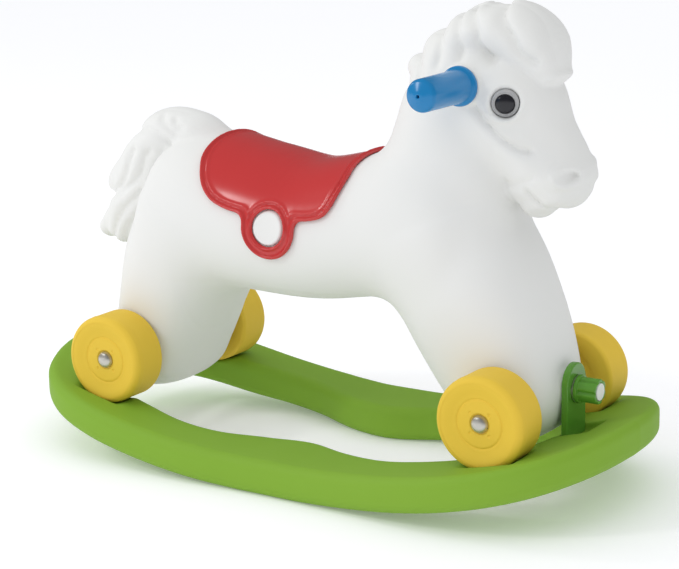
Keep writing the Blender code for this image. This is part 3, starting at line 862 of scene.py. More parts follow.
@dataclass
class Horse:
    """The white shell. Its limbs are fused into one field, the grooves of hair and face are sunk into it,
    and the shell is where that field is zero."""

    barrel: Limb = Limb(
        (
            (-0.250, 0.290, 0.038, 0.050, 2.0),
            (-0.231, 0.288, 0.073, 0.080, 2.1),
            (-0.180, 0.288, 0.089, 0.093, 2.2),
            (-0.100, 0.280, 0.085, 0.095, 2.2),
            (-0.020, 0.275, 0.080, 0.095, 2.2),
            (0.060, 0.288, 0.082, 0.095, 2.2),
            (0.130, 0.297, 0.095, 0.095, 2.2),
            (0.180, 0.296, 0.076, 0.086, 2.1),
            (0.210, 0.294, 0.040, 0.050, 2.0),
        ),
        cap=4.0,
    )
    rear_leg: Limb = Limb(
        (
            (-0.190, 0.290, 0.070, 0.080, 2.2),
            (-0.213, 0.230, 0.072, 0.089, 2.4),
            (-0.233, 0.170, 0.064, 0.083, 2.7),
            (-0.248, 0.120, 0.056, 0.079, 2.8),
            (-0.254, 0.086, 0.048, 0.075, 2.6),
            (-0.256, 0.066, 0.030, 0.058, 2.2),
        ),
        blend=0.030,
        cap=6.0,
    )
    front_leg: Limb = Limb(
        (
            (0.150, 0.300, 0.078, 0.080, 2.2),
            (0.178, 0.235, 0.082, 0.091, 2.4),
            (0.211, 0.170, 0.075, 0.083, 2.7),
            (0.235, 0.120, 0.062, 0.079, 2.8),
            (0.246, 0.088, 0.050, 0.075, 2.6),
            (0.250, 0.070, 0.030, 0.058, 2.2),
        ),
        blend=0.030,
        cap=6.0,
    )
    neck: Limb = Limb(
        (
            (0.110, 0.275, 0.085, 0.080, 2.1),
            (0.143, 0.330, 0.086, 0.079, 2.1),
            (0.157, 0.390, 0.075, 0.068, 2.1),
            (0.166, 0.440, 0.067, 0.060, 2.1),
            (0.182, 0.482, 0.056, 0.054, 2.1),
            (0.196, 0.512, 0.032, 0.036, 2.0),
        ),
        blend=0.016,
        cap=4.0,
    )
    head: Limb = Limb(
        (
            (0.188, 0.500, 0.028, 0.038, 2.0),
            (0.203, 0.470, 0.055, 0.055, 2.1),
            (0.228, 0.433, 0.058, 0.057, 2.2),
            (0.255, 0.394, 0.047, 0.047, 2.2),
            (0.276, 0.360, 0.043, 0.043, 2.2),
            (0.285, 0.341, 0.032, 0.035, 2.0),
        ),
        blend=0.016,
        cap=3.4,
    )
    chin: Limb = Limb(
        (
            (0.246, 0.352, 0.018, 0.024, 2.0),
            (0.259, 0.337, 0.021, 0.026, 2.0),
        ),
        blend=0.010,
        cap=1.0,
    )
    muzzle: Limb = Limb(
        (
            (0.283, 0.386, 0.022, 0.040, 2.0),
            (0.289, 0.366, 0.026, 0.044, 2.2),
            (0.290, 0.352, 0.024, 0.040, 2.2),
        ),
        blend=0.012,
        cap=1.0,
    )
    mane: Limb = Limb(
        (
            (0.110, 0.400, 0.018, 0.022, 2.0),
            (0.122, 0.436, 0.027, 0.034, 2.0),
            (0.146, 0.476, 0.029, 0.042, 2.0),
            (0.184, 0.509, 0.033, 0.048, 2.0),
            (0.224, 0.517, 0.036, 0.051, 2.0),
            (0.258, 0.501, 0.034, 0.046, 2.0),
            (0.277, 0.471, 0.019, 0.027, 2.0),
        ),
        blend=0.005,
        cap=2.0,
    )
    tail: Limb = Limb(
        (
            (-0.160, 0.362, 0.016, 0.022, 2.0),
            (-0.200, 0.374, 0.026, 0.032, 2.0),
            (-0.244, 0.368, 0.033, 0.038, 2.1),
            (-0.274, 0.330, 0.036, 0.042, 2.2),
            (-0.294, 0.276, 0.036, 0.042, 2.2),
            (-0.312, 0.242, 0.025, 0.034, 2.0),
        ),
        blend=0.008,
        cap=2.4,
    )
    locks: tuple[Limb, ...] = (
        Limb(
            (
                (-0.288, 0.345, 0.010, 0.014, 2.0),
                (-0.308, 0.320, 0.015, 0.018, 2.0),
                (-0.316, 0.303, 0.014, 0.018, 2.0),
                (-0.306, 0.285, 0.010, 0.014, 2.0),
            ),
            0.005,
            2.0,
            0.010,
        ),
        Limb(
            (
                (-0.290, 0.300, 0.014, 0.016, 2.0),
                (-0.320, 0.268, 0.015, 0.020, 2.0),
                (-0.337, 0.247, 0.014, 0.018, 2.0),
            ),
            0.006,
            1.3,
            0.006,
        ),
        Limb(
            (
                (0.108, 0.462, 0.010, 0.016, 2.0),
                (0.112, 0.474, 0.014, 0.022, 2.0),
                (0.126, 0.484, 0.012, 0.020, 2.0),
            ),
            0.008,
            1.0,
        ),
        Limb(
            (
                (0.128, 0.484, 0.012, 0.024, 2.0),
                (0.140, 0.499, 0.015, 0.028, 2.0),
                (0.158, 0.500, 0.012, 0.024, 2.0),
            ),
            0.008,
            1.0,
        ),
        Limb(
            (
                (0.160, 0.505, 0.014, 0.026, 2.0),
                (0.176, 0.518, 0.017, 0.030, 2.0),
                (0.190, 0.512, 0.014, 0.026, 2.0),
            ),
            0.008,
            1.0,
        ),
    )
    grooves: tuple[Groove, ...] = (
        # forelock and mane
        Groove(
            (
                (0.198, 0.548), (0.222, 0.545), (0.2345, 0.531),
                (0.2475, 0.516), (0.257, 0.4985), (0.275, 0.485),
            ),
            0.0100,
            0.0056,
        ),
        Groove(
            (
                (0.240, 0.560), (0.2672, 0.5383), (0.2814, 0.5190),
                (0.2885, 0.4956), (0.293, 0.476),
            ),
            0.0085,
            0.0050,
        ),
        Groove(
            (
                (0.184, 0.543), (0.2050, 0.5242), (0.2075, 0.5090),
                (0.2168, 0.4950), (0.2300, 0.484),
            ),
            0.0085,
            0.0056,
        ),
        Groove(
            ((0.148, 0.528), (0.156, 0.508), (0.160, 0.490), (0.158, 0.476)),
            0.0070,
            0.0062,
        ),
        Groove(
            ((0.168, 0.545), (0.181, 0.517), (0.187, 0.500), (0.186, 0.484)),
            0.0070,
            0.0056,
        ),
        Groove(
            ((0.106, 0.500), (0.124, 0.484), (0.134, 0.466), (0.136, 0.450)),
            0.0070,
            0.0062,
        ),
        Groove(
            ((0.086, 0.466), (0.106, 0.456), (0.120, 0.442)),
            0.0055,
            0.0058,
        ),
        # tail
        Groove(
            (
                (-0.300, 0.362), (-0.286, 0.370), (-0.2701, 0.3765),
                (-0.2515, 0.3794), (-0.2336, 0.3735), (-0.215, 0.358),
            ),
            0.0058,
            0.0048,
        ),
        Groove(
            ((-0.240, 0.398), (-0.2300, 0.388), (-0.2190, 0.3800), (-0.2050, 0.3720)),
            0.0044,
            0.0044,
        ),
        Groove(
            ((-0.2209, 0.3961), (-0.2110, 0.386), (-0.1980, 0.3790)),
            0.0038,
            0.0040,
        ),
        Groove(
            (
                (-0.245, 0.358), (-0.256, 0.345), (-0.2608, 0.3294),
                (-0.2739, 0.3134), (-0.2982, 0.2971), (-0.330, 0.291),
            ),
            0.0064,
            0.0050,
        ),
        Groove(
            (
                (-0.2690, 0.360), (-0.2780, 0.340), (-0.2850, 0.3200),
                (-0.2980, 0.305), (-0.312, 0.300),
            ),
            0.0058,
            0.0050,
        ),
        Groove(
            (
                (-0.2600, 0.306), (-0.2799, 0.2881), (-0.2998, 0.2662),
                (-0.3137, 0.2422), (-0.318, 0.224),
            ),
            0.0058,
            0.0050,
        ),
        Groove(
            (
                (-0.2560, 0.288), (-0.2720, 0.2720), (-0.2900, 0.2540),
                (-0.3000, 0.2350), (-0.302, 0.216),
            ),
            0.0050,
            0.0050,
        ),
        # cheek, jaw, mouth
        Groove(
            (
                (0.2040, 0.4500), (0.2151, 0.433), (0.2272, 0.4178),
                (0.2393, 0.4058), (0.2537, 0.3984), (0.2735, 0.3950),
            ),
            0.0075,
            0.0036,
        ),
        Groove(
            ((0.2240, 0.3570), (0.2449, 0.356), (0.2605, 0.3618), (0.280, 0.3700)),
            0.0026,
            0.0044,
        ),
        Groove(
            (
                (0.2600, 0.3560), (0.2680, 0.3436), (0.2756, 0.3356),
                (0.2840, 0.3309), (0.300, 0.3290),
            ),
            0.0075,
            0.0034,
        ),
    )
    eye: tuple[float, float, float] = (0.2420, 0.0472, 0.4475)
    eye_turn: float = 22.0
    eye_drop: float = 6.0
    handle: tuple[float, float] = (0.1940, 0.4635)
    nostril: tuple[float, float] = (0.3080, 0.3700)
    hub_z: float = 0.1150
    half_wheelbase: float = 0.2550
    boss_reach: float = 0.0805
    lock_z: float = 0.1290
    lock_face_x: float = 0.2975
    nostril_ring: float = 0.0105
    nostril_rise: float = 0.0032
    nostril_depth: float = 0.0065
    lid_radius: float = 0.0192
    lid_rise: tuple[float, float] = (0.0010, 0.0030)
    brow: tuple[float, float] = (0.2990, 0.4150)
    brow_rise: float = 0.0014
    cheek_rise: float = 0.0016
    strand_depth: float = 0.0030
    strand_width: float = 0.0035
    boss_radius: float = 0.0170
    lock_boss_radius: float = 0.0195
    lock_boss_root_x: float = 0.2500
    grip_boss_radius: float = 0.0226
    grip_clear_radius: float = 0.0250
    eye_seat_radius: float = 0.0156
    grip_seat: float = 0.0598
    ease_rounds: int = 5
    pitch: float = 0.0027
    reach_x: tuple[float, float, float, float] = (-0.366, -0.180, 0.090, 0.342)
    reach_y: float = 0.108
    reach_z: tuple[float, float, float] = (0.050, 0.210, 0.566)
    skin: Field | None = field(default=None, init=False)

    def trunk(self) -> tuple[Limb, ...]:
        """The limbs that carry the saddle and the legs' seats."""
        return self.barrel, self.rear_leg, self.front_leg, self.neck

    def limbs(self, x: Array, y: Array, z: Array) -> Array:
        """The field of all limbs on a grid: the trunk, eased, then the head, the hair and the tail.

        Args:
            x: (nx, nz) coordinates.
            y: (ny,) coordinates.
            z: (nx, nz) coordinates.

        Returns:
            (nx, ny, nz).
        """
        eased = softened(fused(self.trunk(), x, y, z), self.ease_rounds)
        added = (self.head, self.chin, self.muzzle, self.mane, self.tail, *self.locks)
        return fused(added, x, y, z, eased)

    def relief(self, x: Array, z: Array) -> Array:
        """How far the surface stands out in side view: grooves sink it, and bells raise the nostril's ring,
        the eye's lid and the brow, with a smooth step under the cheek.

        Args:
            x: coordinates.
            z: coordinates.

        Returns:
            The heights.
        """
        lift = -sum(groove.sink(x, z) for groove in self.grooves)
        ring = np.hypot(x - self.nostril[0], z - self.nostril[1])
        lift += self.nostril_rise * bell(ring, self.nostril_ring, 0.0036)
        lift -= self.nostril_depth * bell(ring, 0.0, 0.0056)
        across, down = x - self.eye[0] - 0.002, self.eye[2] - z
        lid = self.lid_rise[0] + self.lid_rise[1] * ease(down, -0.004, 0.014)
        lift += lid * bell(np.hypot(across, down), self.lid_radius, 0.0032)
        lift += self.brow_rise * bell(x, self.brow[0], 0.010) * bell(z, self.brow[1], 0.008)
        cheek = ease((x - 0.228) * 0.72 + (z - 0.418) * 0.69, -0.002, 0.010) * ease(z, 0.380, 0.410)
        lift += self.cheek_rise * cheek * ease(x, 0.295, 0.262) * ease(z, 0.475, 0.440)
        return lift

    def strands(self, x: Array, y: Array, z: Array) -> Array:
        """A wavy furrow along the mane and the tail, at |y| = 0.015 + 0.004 sin(90 z), inside the hair's
        limbs and behind the tail's root.

        Args:
            x: (nx, nz) coordinates.
            y: (ny,) coordinates.
            z: (nx, nz) coordinates.

        Returns:
            (nx, ny, nz), 1 in the furrow.
        """
        hair = ease(np.minimum(self.mane.distance(self.mane.section(x, z), 0 * x), 1.0), 0.004, -0.012)
        tail = ease(self.tail.distance(self.tail.section(x, z), 0 * x), 0.004, -0.012)
        away = 1 - ease(x, -0.215, -0.190)
        rows = np.abs(y[None, :, None] - 0.015 - 0.004 * np.sin(z * 90)[:, None, :])
        return (hair + tail * away)[:, None, :] * np.exp(-rows / self.strand_width)

    def solid(self) -> Field:
        """The shell's field: fused limbs, relief, strands along the crest, wheel and lock bosses, and the
        seats of the eyes and the handle. The planes stand closer at the head and the tail."""
        half = planes((0.0, self.reach_y, self.pitch))
        coarse = 1.5 * self.pitch
        back, rump, chest, nose = self.reach_x
        low, belly, top = self.reach_z
        xs = planes((back, rump, self.pitch), (rump, chest, coarse), (chest, nose, self.pitch))
        zs = planes((low, belly, coarse), (belly, top, self.pitch))
        x, z = np.meshgrid(xs, zs, indexing="ij")
        raised = self.relief(x, z)[:, None, :] - self.strand_depth * self.strands(x, half, z)
        values = self.with_seats(self.limbs(x, half, z) - raised, x, half, z)
        both = np.concatenate([values[:, :0:-1, :], values], axis=1)
        self.skin = Field(xs, mirrored(half), zs, both)
        return self.skin

    def with_seats(self, values: Array, x: Array, half: Array, z: Array) -> Array:
        """Adds the bosses and cuts the seats; each is a round bar, its field the larger of its radial and
        its end distance.

        Args:
            values: (nx, ny, nz), the shell's field.
            x: (nx, nz) coordinates.
            half: (ny,) coordinates.
            z: (nx, nz) coordinates.

        Returns:
            The field with them.
        """
        y = half[None, :, None]
        for run in (-self.half_wheelbase, self.half_wheelbase):
            bar = np.hypot(x - run, z - self.hub_z)[:, None, :] - self.boss_radius
            values = smooth_min(values, smooth_max(bar, y - self.boss_reach, 0.003), 0.006)
        bar = np.hypot(y, z[:, None, :] - self.lock_z) - self.lock_boss_radius
        ends = np.maximum(x - self.lock_face_x, self.lock_boss_root_x - x)[:, None, :]
        values = smooth_min(values, smooth_max(bar, ends, 0.003), 0.008)
        bar = np.hypot(x - self.handle[0], z - self.handle[1])[:, None, :]
        boss = smooth_max(bar - self.grip_boss_radius, y - self.grip_seat, 0.001)
        values = smooth_min(values, boss, 0.003)
        values = smooth_max(values, -np.maximum(bar - self.grip_clear_radius, self.grip_seat - y), 0.001)
        offset = [part - middle for part, middle in zip((x[:, None, :], y, z[:, None, :]), self.eye)]
        out = sum(part * share for part, share in zip(offset, self.eye_way(1)))
        around = np.sqrt(np.maximum(sum(part**2 for part in offset) - out**2, 0))
        return smooth_max(values, -np.maximum(around - self.eye_seat_radius, -out), 0.001)

    def eye_way(self, side: int) -> Array:
        """The way an eye looks: out to its side, turned towards the nose and a little down.

        Args:
            side: -1 or +1.

        Returns:
            The unit vector.
        """
        turn, drop = math.radians(self.eye_turn), math.radians(self.eye_drop)
        level = math.cos(drop)
        return np.array([math.sin(turn) * level, side * math.cos(turn) * level, -math.sin(drop)])

    def half_width(self, x: Array, z: Array) -> Array:
        """The shell's half-width in side view, by halving the range 40 times.

        Args:
            x: (n,) coordinates.
            z: (n,) coordinates.

        Returns:
            (n,) half-widths.
        """
        low, high = np.zeros_like(x), np.full_like(x, 0.105)
        for _ in range(40):
            middle = (low + high) / 2
            inside = self.skin.read(np.column_stack([x, middle, z])) < 0
            low, high = np.where(inside, middle, low), np.where(inside, high, middle)
        return low

    def build(self) -> None:
        """Makes the shell piece."""
        points, faces = self.solid().surface()
        show("horse_shell", points, faces, Finish.SHELL, "root", ("horse_body",))


# ---- saddle --------------------------------------------------------------------------------------


@dataclass
class Saddle:
    """The red seat that hugs the shell's back, with a beaded edge and a windowed lug on each side."""

    horse: Horse
    outline: Path = (
        (-0.154, 0.420),
        (-0.152, 0.370),
        (-0.144, 0.348),
        (-0.131, 0.327),
        (-0.110, 0.312),
        (-0.070, 0.304),
        (-0.002, 0.303),
        (0.031, 0.308),
        (0.045, 0.320),
        (0.053, 0.342),
        (0.055, 0.356),
        (0.053, 0.368),
        (0.052, 0.420),
    )
    lug: tuple[float, float] = (-0.0360, 0.2915)
    lug_radius: float = 0.0360
    window: tuple[float, float] = (0.0212, 0.0208)
    clearance: float = 0.0006
    thickness: float = 0.0036
    bead: float = 0.0026
    inner_bead: float = 0.0015
    gutter: float = 0.0012
    boss_gap: float = 0.0007
    boss_rise: float = 0.0046
    boss_sink: float = 0.0040
    boss_shoulder: float = 0.86
    pitch: float = 0.0017

    def edge(self, x: Array, z: Array) -> Array:
        """Distance inwards from the saddle's edge in side view, negative outside it: the outline joined to
        a round-ended lug, less the window.

        Args:
            x: coordinates.
            z: coordinates.

        Returns:
            The distances.
        """
        flat = np.column_stack([x.ravel(), z.ravel()])
        corners = spline(np.array(self.outline), 80)
        total = polygon_distance(flat, corners).reshape(x.shape)
        dx, dz = x - self.lug[0], z - self.lug[1]
        tongue = np.where(dz < 0, np.hypot(dx, dz), np.abs(dx)) - self.lug_radius
        tongue = np.maximum(tongue, dz - 0.03)
        total = smooth_min(total, tongue, 0.012)
        hole = (np.hypot(dx / self.window[0], dz / self.window[1]) - 1) * self.window[0]
        return -smooth_max(total, -hole, 0.001)

    def solid(self) -> Field:
        """The saddle's field: between two offsets of the shell, the upper one raised in two beads along
        the edge with a gutter between them, and inside the edge, with its corners rounded."""
        half = planes((0.0, 0.108, self.pitch))
        xs = planes((-0.166, 0.080, self.pitch))
        zs = planes((0.246, 0.398, self.pitch))
        x, z = np.meshgrid(xs, zs, indexing="ij")
        skin = fused(self.horse.trunk(), x, half, z)
        ys = mirrored(half)
        skin = np.concatenate([skin[:, :0:-1, :], skin], axis=1)
        slope = np.sqrt(sum(part**2 for part in np.gradient(skin, xs, ys, zs)))
        skin = skin / np.maximum(slope, 0.3)
        inward = self.edge(x, z)[:, None, :]
        beads = self.bead * bell(inward, 0.0030, 0.0020) + self.inner_bead * bell(inward, 0.0088, 0.0016)
        top = self.clearance + self.thickness + beads - self.gutter * bell(inward, 0.0060, 0.0014)
        sheet = np.maximum(skin - top, self.clearance - skin)
        return Field(xs, ys, zs, smooth_max(sheet, -inward, 0.0022))

    def build(self) -> None:
        """Makes the saddle and the two white bosses in its windows."""
        points, faces = self.solid().surface(rounds=3)
        show("saddle_seat", points, faces, Finish.SADDLE, "root", ("saddle",))
        for word, side in SIDES:
            self.boss(word, side)

    def boss(self, word: str, side: int) -> None:
        """A white oval boss in the lug's window: rings from its middle to its foot. With s the share of
        the radius and d how far it is past the shoulder, from 0 to 1, the height over the shell is
        rise * sqrt(1 - d^2.4) - 0.0008 * (1 - s^2) - 0.0012 * d.

        Args:
            word: right or left.
            side: -1 or +1.
        """
        share = np.concatenate([np.linspace(0.02, self.boss_shoulder, 14), np.linspace(0.88, 1.0, 9)])
        angle = np.linspace(0, 2 * math.pi, 72, endpoint=False)
        s, a = np.meshgrid(share, angle, indexing="ij")
        x = self.lug[0] + (self.window[0] - self.boss_gap) * s * np.cos(a)
        z = self.lug[1] + (self.window[1] - self.boss_gap) * s * np.sin(a)
        skin = self.horse.half_width(x.ravel(), z.ravel()).reshape(x.shape)
        drop = np.clip((s - self.boss_shoulder) / (1 - self.boss_shoulder), 0, 1)
        crown = self.boss_rise * np.sqrt(np.maximum(1 - drop**2.4, 0))
        height = crown - 0.0008 * (1 - s**2) - 0.0012 * drop
        rings = np.stack([x, side * (skin + height), z], axis=-1)
        middle = rings[0].mean(axis=0)
        points = np.vstack([rings.reshape(-1, 3), middle])
        count = len(angle)
        first = np.arange(count)
        after = (first + 1) % count
        rows = np.arange(len(share) - 1)[:, None] * count
        sides = np.stack([rows + first, rows + after, rows + count + after, rows + count + first], axis=-1)
        faces = sides.reshape(-1, 4).tolist()
        faces += np.stack([np.full(count, len(points) - 1), after, first], axis=-1).tolist()
        foot = rings[-1] - np.array([0.0, side * self.boss_sink, 0.0])
        base = len(points)
        points = np.vstack([points, foot])
        last = (len(share) - 1) * count
        faces += np.stack([last + first, last + after, base + after, base + first], axis=-1).tolist()
        faces.append((base + first[::-1]).tolist())
        show(f"saddle_boss_{word}", points, outward(points, faces), Finish.SHELL, "root")


# ---- rocker --------------------------------------------------------------------------------------


@dataclass
class Rocker:
    """The green ring that the wheels drop into: a rounded box section between two plan curves, its
    underside a long arc, with wheel pockets, leg reliefs and the slot of the bracket. A row of the plan is
    (x, y) of the outer curve and (x, y) of the inner one."""

    horse: Horse
    plan: Path = (
        (-0.391, 0.000, -0.314, 0.000),
        (-0.386, 0.041, -0.311, 0.030),
        (-0.372, 0.084, -0.302, 0.056),
        (-0.347, 0.127, -0.282, 0.078),
        (-0.307, 0.157, -0.250, 0.091),
        (-0.250, 0.172, -0.205, 0.099),
        (-0.180, 0.176, -0.155, 0.107),
        (-0.110, 0.176, -0.105, 0.103),
        (-0.040, 0.172, -0.050, 0.084),
        (0.030, 0.172, 0.010, 0.074),
        (0.100, 0.175, 0.070, 0.092),
        (0.170, 0.179, 0.125, 0.104),
        (0.235, 0.177, 0.175, 0.101),
        (0.293, 0.163, 0.225, 0.091),
        (0.336, 0.134, 0.260, 0.070),
        (0.364, 0.092, 0.277, 0.045),
        (0.378, 0.046, 0.284, 0.020),
        (0.3825, 0.000, 0.285, 0.000),
    )
    height: float = 0.0415
    curve: float = 1.12
    level: float = 0.035
    edge: float = 0.012
    wheel_radius: float = 0.0528
    wheel_y: tuple[float, float] = (0.0835, 0.1335)
    clearance: float = 0.0022
    slot: tuple[float, float, float, float] = (0.2900, 0.3300, 0.0245, 0.0735)
    leg_gap: float = 0.0045
    leg_drop: float = 0.0030
    pitch: float = 0.0030
    fine: float = 0.0021

    def solid(self) -> Field:
        """The ring's field, on one half and mirrored."""
        zs = planes((-0.008, 0.118, 0.0024))
        half = planes((0.0, 0.072, 0.0036), (0.072, 0.144, self.fine), (0.144, 0.188, self.pitch))
        xs = planes(
            (-0.402, -0.316, 0.0034),
            (-0.316, -0.192, self.fine),
            (-0.192, 0.192, 0.0042),
            (0.192, 0.334, self.fine),
            (0.334, 0.396, 0.0034),
        )
        x, y = np.meshgrid(xs, half, indexing="ij")
        flat = np.column_stack([x.ravel(), y.ravel()])
        rows = spline(np.array(self.plan), 120)
        rows[0, 1] = rows[0, 3] = rows[-1, 1] = rows[-1, 3] = 0.0
        under = [(row[0], -row[1]) for row in rows[-2:0:-1]]
        outer = polygon_distance(flat, np.vstack([rows[:, :2], under]))
        under = [(row[2], -row[3]) for row in rows[-2:0:-1]]
        inner = polygon_distance(flat, np.vstack([rows[:, 2:], under]))
        side = np.maximum(outer, -inner).reshape(x.shape)[:, :, None]
        foot = np.maximum(0.0, (xs**2 - self.level**2) / (2 * self.curve))[:, None, None]
        up = np.abs(zs[None, None, :] - foot - self.height / 2) - self.height / 2
        a, b = side + self.edge, up + self.edge
        ring = np.minimum(np.maximum(a, b), 0) + np.hypot(np.maximum(a, 0), np.maximum(b, 0)) - self.edge
        ring = self.cut(ring, xs, half, zs)
        both = np.concatenate([ring[:, :0:-1, :], ring], axis=1)
        return Field(xs, mirrored(half), zs, both)

    def cut(self, ring: Array, xs: Array, half: Array, zs: Array) -> Array:
        """Cuts the wheel pockets, the leg reliefs and the bracket's slot out of the ring's field.

        Args:
            ring: (nx, ny, nz), the field.
            xs: its planes along X.
            half: its planes along Y, from the middle outwards.
            zs: its planes along Z.

        Returns:
            The field with them cut.
        """
        horse = self.horse
        x, z = np.meshgrid(xs, zs, indexing="ij")
        y = half[None, :, None]
        for run in (-horse.half_wheelbase, horse.half_wheelbase):
            wheel = np.hypot(x - run, z - horse.hub_z)[:, None, :] - self.wheel_radius - self.clearance
            middle = sum(self.wheel_y) / 2
            width = (self.wheel_y[1] - self.wheel_y[0]) / 2 + self.clearance
            pocket = smooth_max(wheel, np.abs(y - middle) - width, 0.004)
            ring = smooth_max(ring, -pocket, 0.003)
        for leg in (horse.rear_leg, horse.front_leg):
            gap = leg.distance(leg.section(x, z + self.leg_drop)[:, :, None, :], y)
            ring = smooth_max(ring, self.leg_gap - gap, 0.003)
        low, high, width, floor = self.slot
        slot = np.maximum(np.maximum(low - x, x - high)[:, None, :], y - width)
        slot = np.maximum(slot, (floor - z)[:, None, :])
        return smooth_max(ring, -slot, 0.002)

    def build(self) -> None:
        """Makes the ring."""
        points, faces = self.solid().surface(rounds=3)
        show("rocker_ring", points, faces, Finish.ROCKER, "root", ("rocker_base",))


# ---- wheels --------------------------------------------------------------------------------------


@dataclass
class Wheels:
    """Four yellow wheels with their bright caps; axles and washers are the CAD's own."""

    horse: Horse
    nodes: dict[str, bpy.types.Object]
    radius: float = 0.0528
    rim_y: float = 0.1335
    face_y: float = 0.1290
    inner_y: float = 0.0835
    bore: float = 0.0046
    cap_radius: float = 0.0095
    cap_skirt: float = 0.0101
    cap_height: float = 0.0062
    cap_sink: float = 0.0012
    edge: float = 0.0078
    back_edge: float = 0.0045
    groove_share: float = 0.52
    face_rows: int = 76

    def face(self, radius: Array) -> Array:
        """Height of the outer face along Y: a shallow dish from the hub to the rim, a round-bottomed
        groove half way out, and a sunk ring round the cap.

        Args:
            radius: distances from the axle.

        Returns:
            The heights.
        """
        share = radius / self.radius
        dish = self.face_y + (self.rim_y - self.face_y - 0.0004) * ease(share, self.groove_share, 0.86)
        groove = 0.0010 * bell(share, self.groove_share, 0.022)
        sunk = 0.0016 * (1 - ease(radius, 0.0108, 0.0124))
        return dish - groove - sunk

    def dimples(self, radius: Array, angle: Array) -> Array:
        """Four small round dimples on the face and two moulded marks near the rim: at a distance g from
        its middle, each sinks by depth * exp(-(g / width)^4). The rows of the tread and the back keep 0.

        Args:
            radius: (rows, columns) distances from the axle.
            angle: (rows, columns) turns about it.

        Returns:
            The heights, negative where the face sinks.
        """
        x, y = radius * np.cos(angle), radius * np.sin(angle)
        lift = np.zeros_like(radius)
        kinds = (((45, 135, 225, 315), 0.31, 0.0011, 0.0015), ((88, 96), 0.78, 0.0006, 0.0011))
        for turns, share, depth, width in kinds:
            away = share * self.radius
            for turn in np.radians(turns):
                gap = np.hypot(x - away * np.cos(turn), y - away * np.sin(turn))
                lift -= depth * np.exp(-((gap / width) ** 4))
        return np.where(np.arange(len(radius))[:, None] < self.face_rows, lift, 0.0)

    def profile(self) -> Array:
        """The wheel's profile: outer face, rounded rim, tread with a fine parting ridge, inner face."""
        flat = np.concatenate([np.linspace(self.bore, 0.0130, 16), np.linspace(0.0135, 0.0470, 60)])
        outer = np.column_stack([flat, self.face(flat)])
        turn = np.linspace(math.radians(82), 0, 14)
        rim = self.quarter(turn, self.edge, self.rim_y - self.edge)
        tread = np.linspace(self.rim_y - self.edge - 0.001, self.inner_y + 0.0055, 22)
        sides = np.column_stack([self.radius + 0.00035 * bell(tread, self.rim_y - 0.0125, 0.0007), tread])
        turn = np.linspace(0, -math.pi / 2, 7)
        back = self.quarter(turn, self.back_edge, self.inner_y + self.back_edge)
        web = np.array([(0.030, 0), (0.028, 0.0015), (0.016, 0.0015), (0.014, 0), (self.bore, 0)])
        inner = web + (0, self.inner_y)
        ends = np.array([[0.0, self.face_y - 0.0016]]), np.array([[0.0, self.inner_y]])
        return np.vstack([ends[0], outer, rim, sides, back, inner, ends[1]])

    def quarter(self, turn: Array, edge: float, height: float) -> Array:
        """A rounded edge of the tread: points of a circle, its middle one radius inside the tread.

        Args:
            turn: angles above the level.
            edge: its radius.
            height: of its middle along Y.

        Returns:
            (n, 2) points of the profile.
        """
        return np.column_stack([self.radius - edge + edge * np.cos(turn), height + edge * np.sin(turn)])

    def cap(self) -> Array:
        """The push-on cap's profile: a crowned top, a rolled shoulder and a thin skirt."""
        share = np.linspace(0, 1, 22)
        low = self.face_y - self.cap_sink
        dome = low + 0.0018 + (self.cap_height - 0.0018) * np.sqrt(np.maximum(1 - share**2.3, 0))
        crown = np.column_stack([share * self.cap_radius, dome])
        skirt = [[self.cap_skirt, low + 0.0010], [self.cap_skirt, low], [0, low]]
        return np.vstack([crown, skirt])

    def build(self) -> None:
        """Makes each wheel and cap on the body of the node it replaces."""
        kinds = (
            ("road_wheel", "wheel", turned(self.profile(), 144, self.dimples), Finish.WHEEL, 50),
            ("hub_cap", "axle_cap", turned(self.cap(), 48), Finish.STEEL, 60),
        )
        for end, way in (("front", 1), ("rear", -1)):
            for word, side in SIDES:
                for name, node, (points, faces), finish, crease in kinds:
                    placed = stood(points, (way * self.horse.half_wheelbase, self.horse.hub_z), side)
                    replaced = f"{node}_{end}_{word}"
                    body = self.nodes[replaced]["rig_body"]
                    faces = outward(placed, faces)
                    show(f"{name}_{end}_{word}", placed, faces, finish, body, (replaced,), crease)


def outward(points: Array, faces: list) -> list:
    """The faces, turned round if the closed surface holds a negative volume.

    Args:
        points: (n, 3).
        faces: rows of point numbers.

    Returns:
        The faces, facing outwards.
    """
    tris = np.array([[face[0], face[i], face[i + 1]] for face in faces for i in range(1, len(face) - 1)])
    a, b, c = (points[tris[:, k]] for k in range(3))
    volume = (a * np.cross(b, c)).sum()
    return faces if volume > 0 else [face[::-1] for face in faces]


# ---- handle and eyes -----------------------------------------------------------------------------


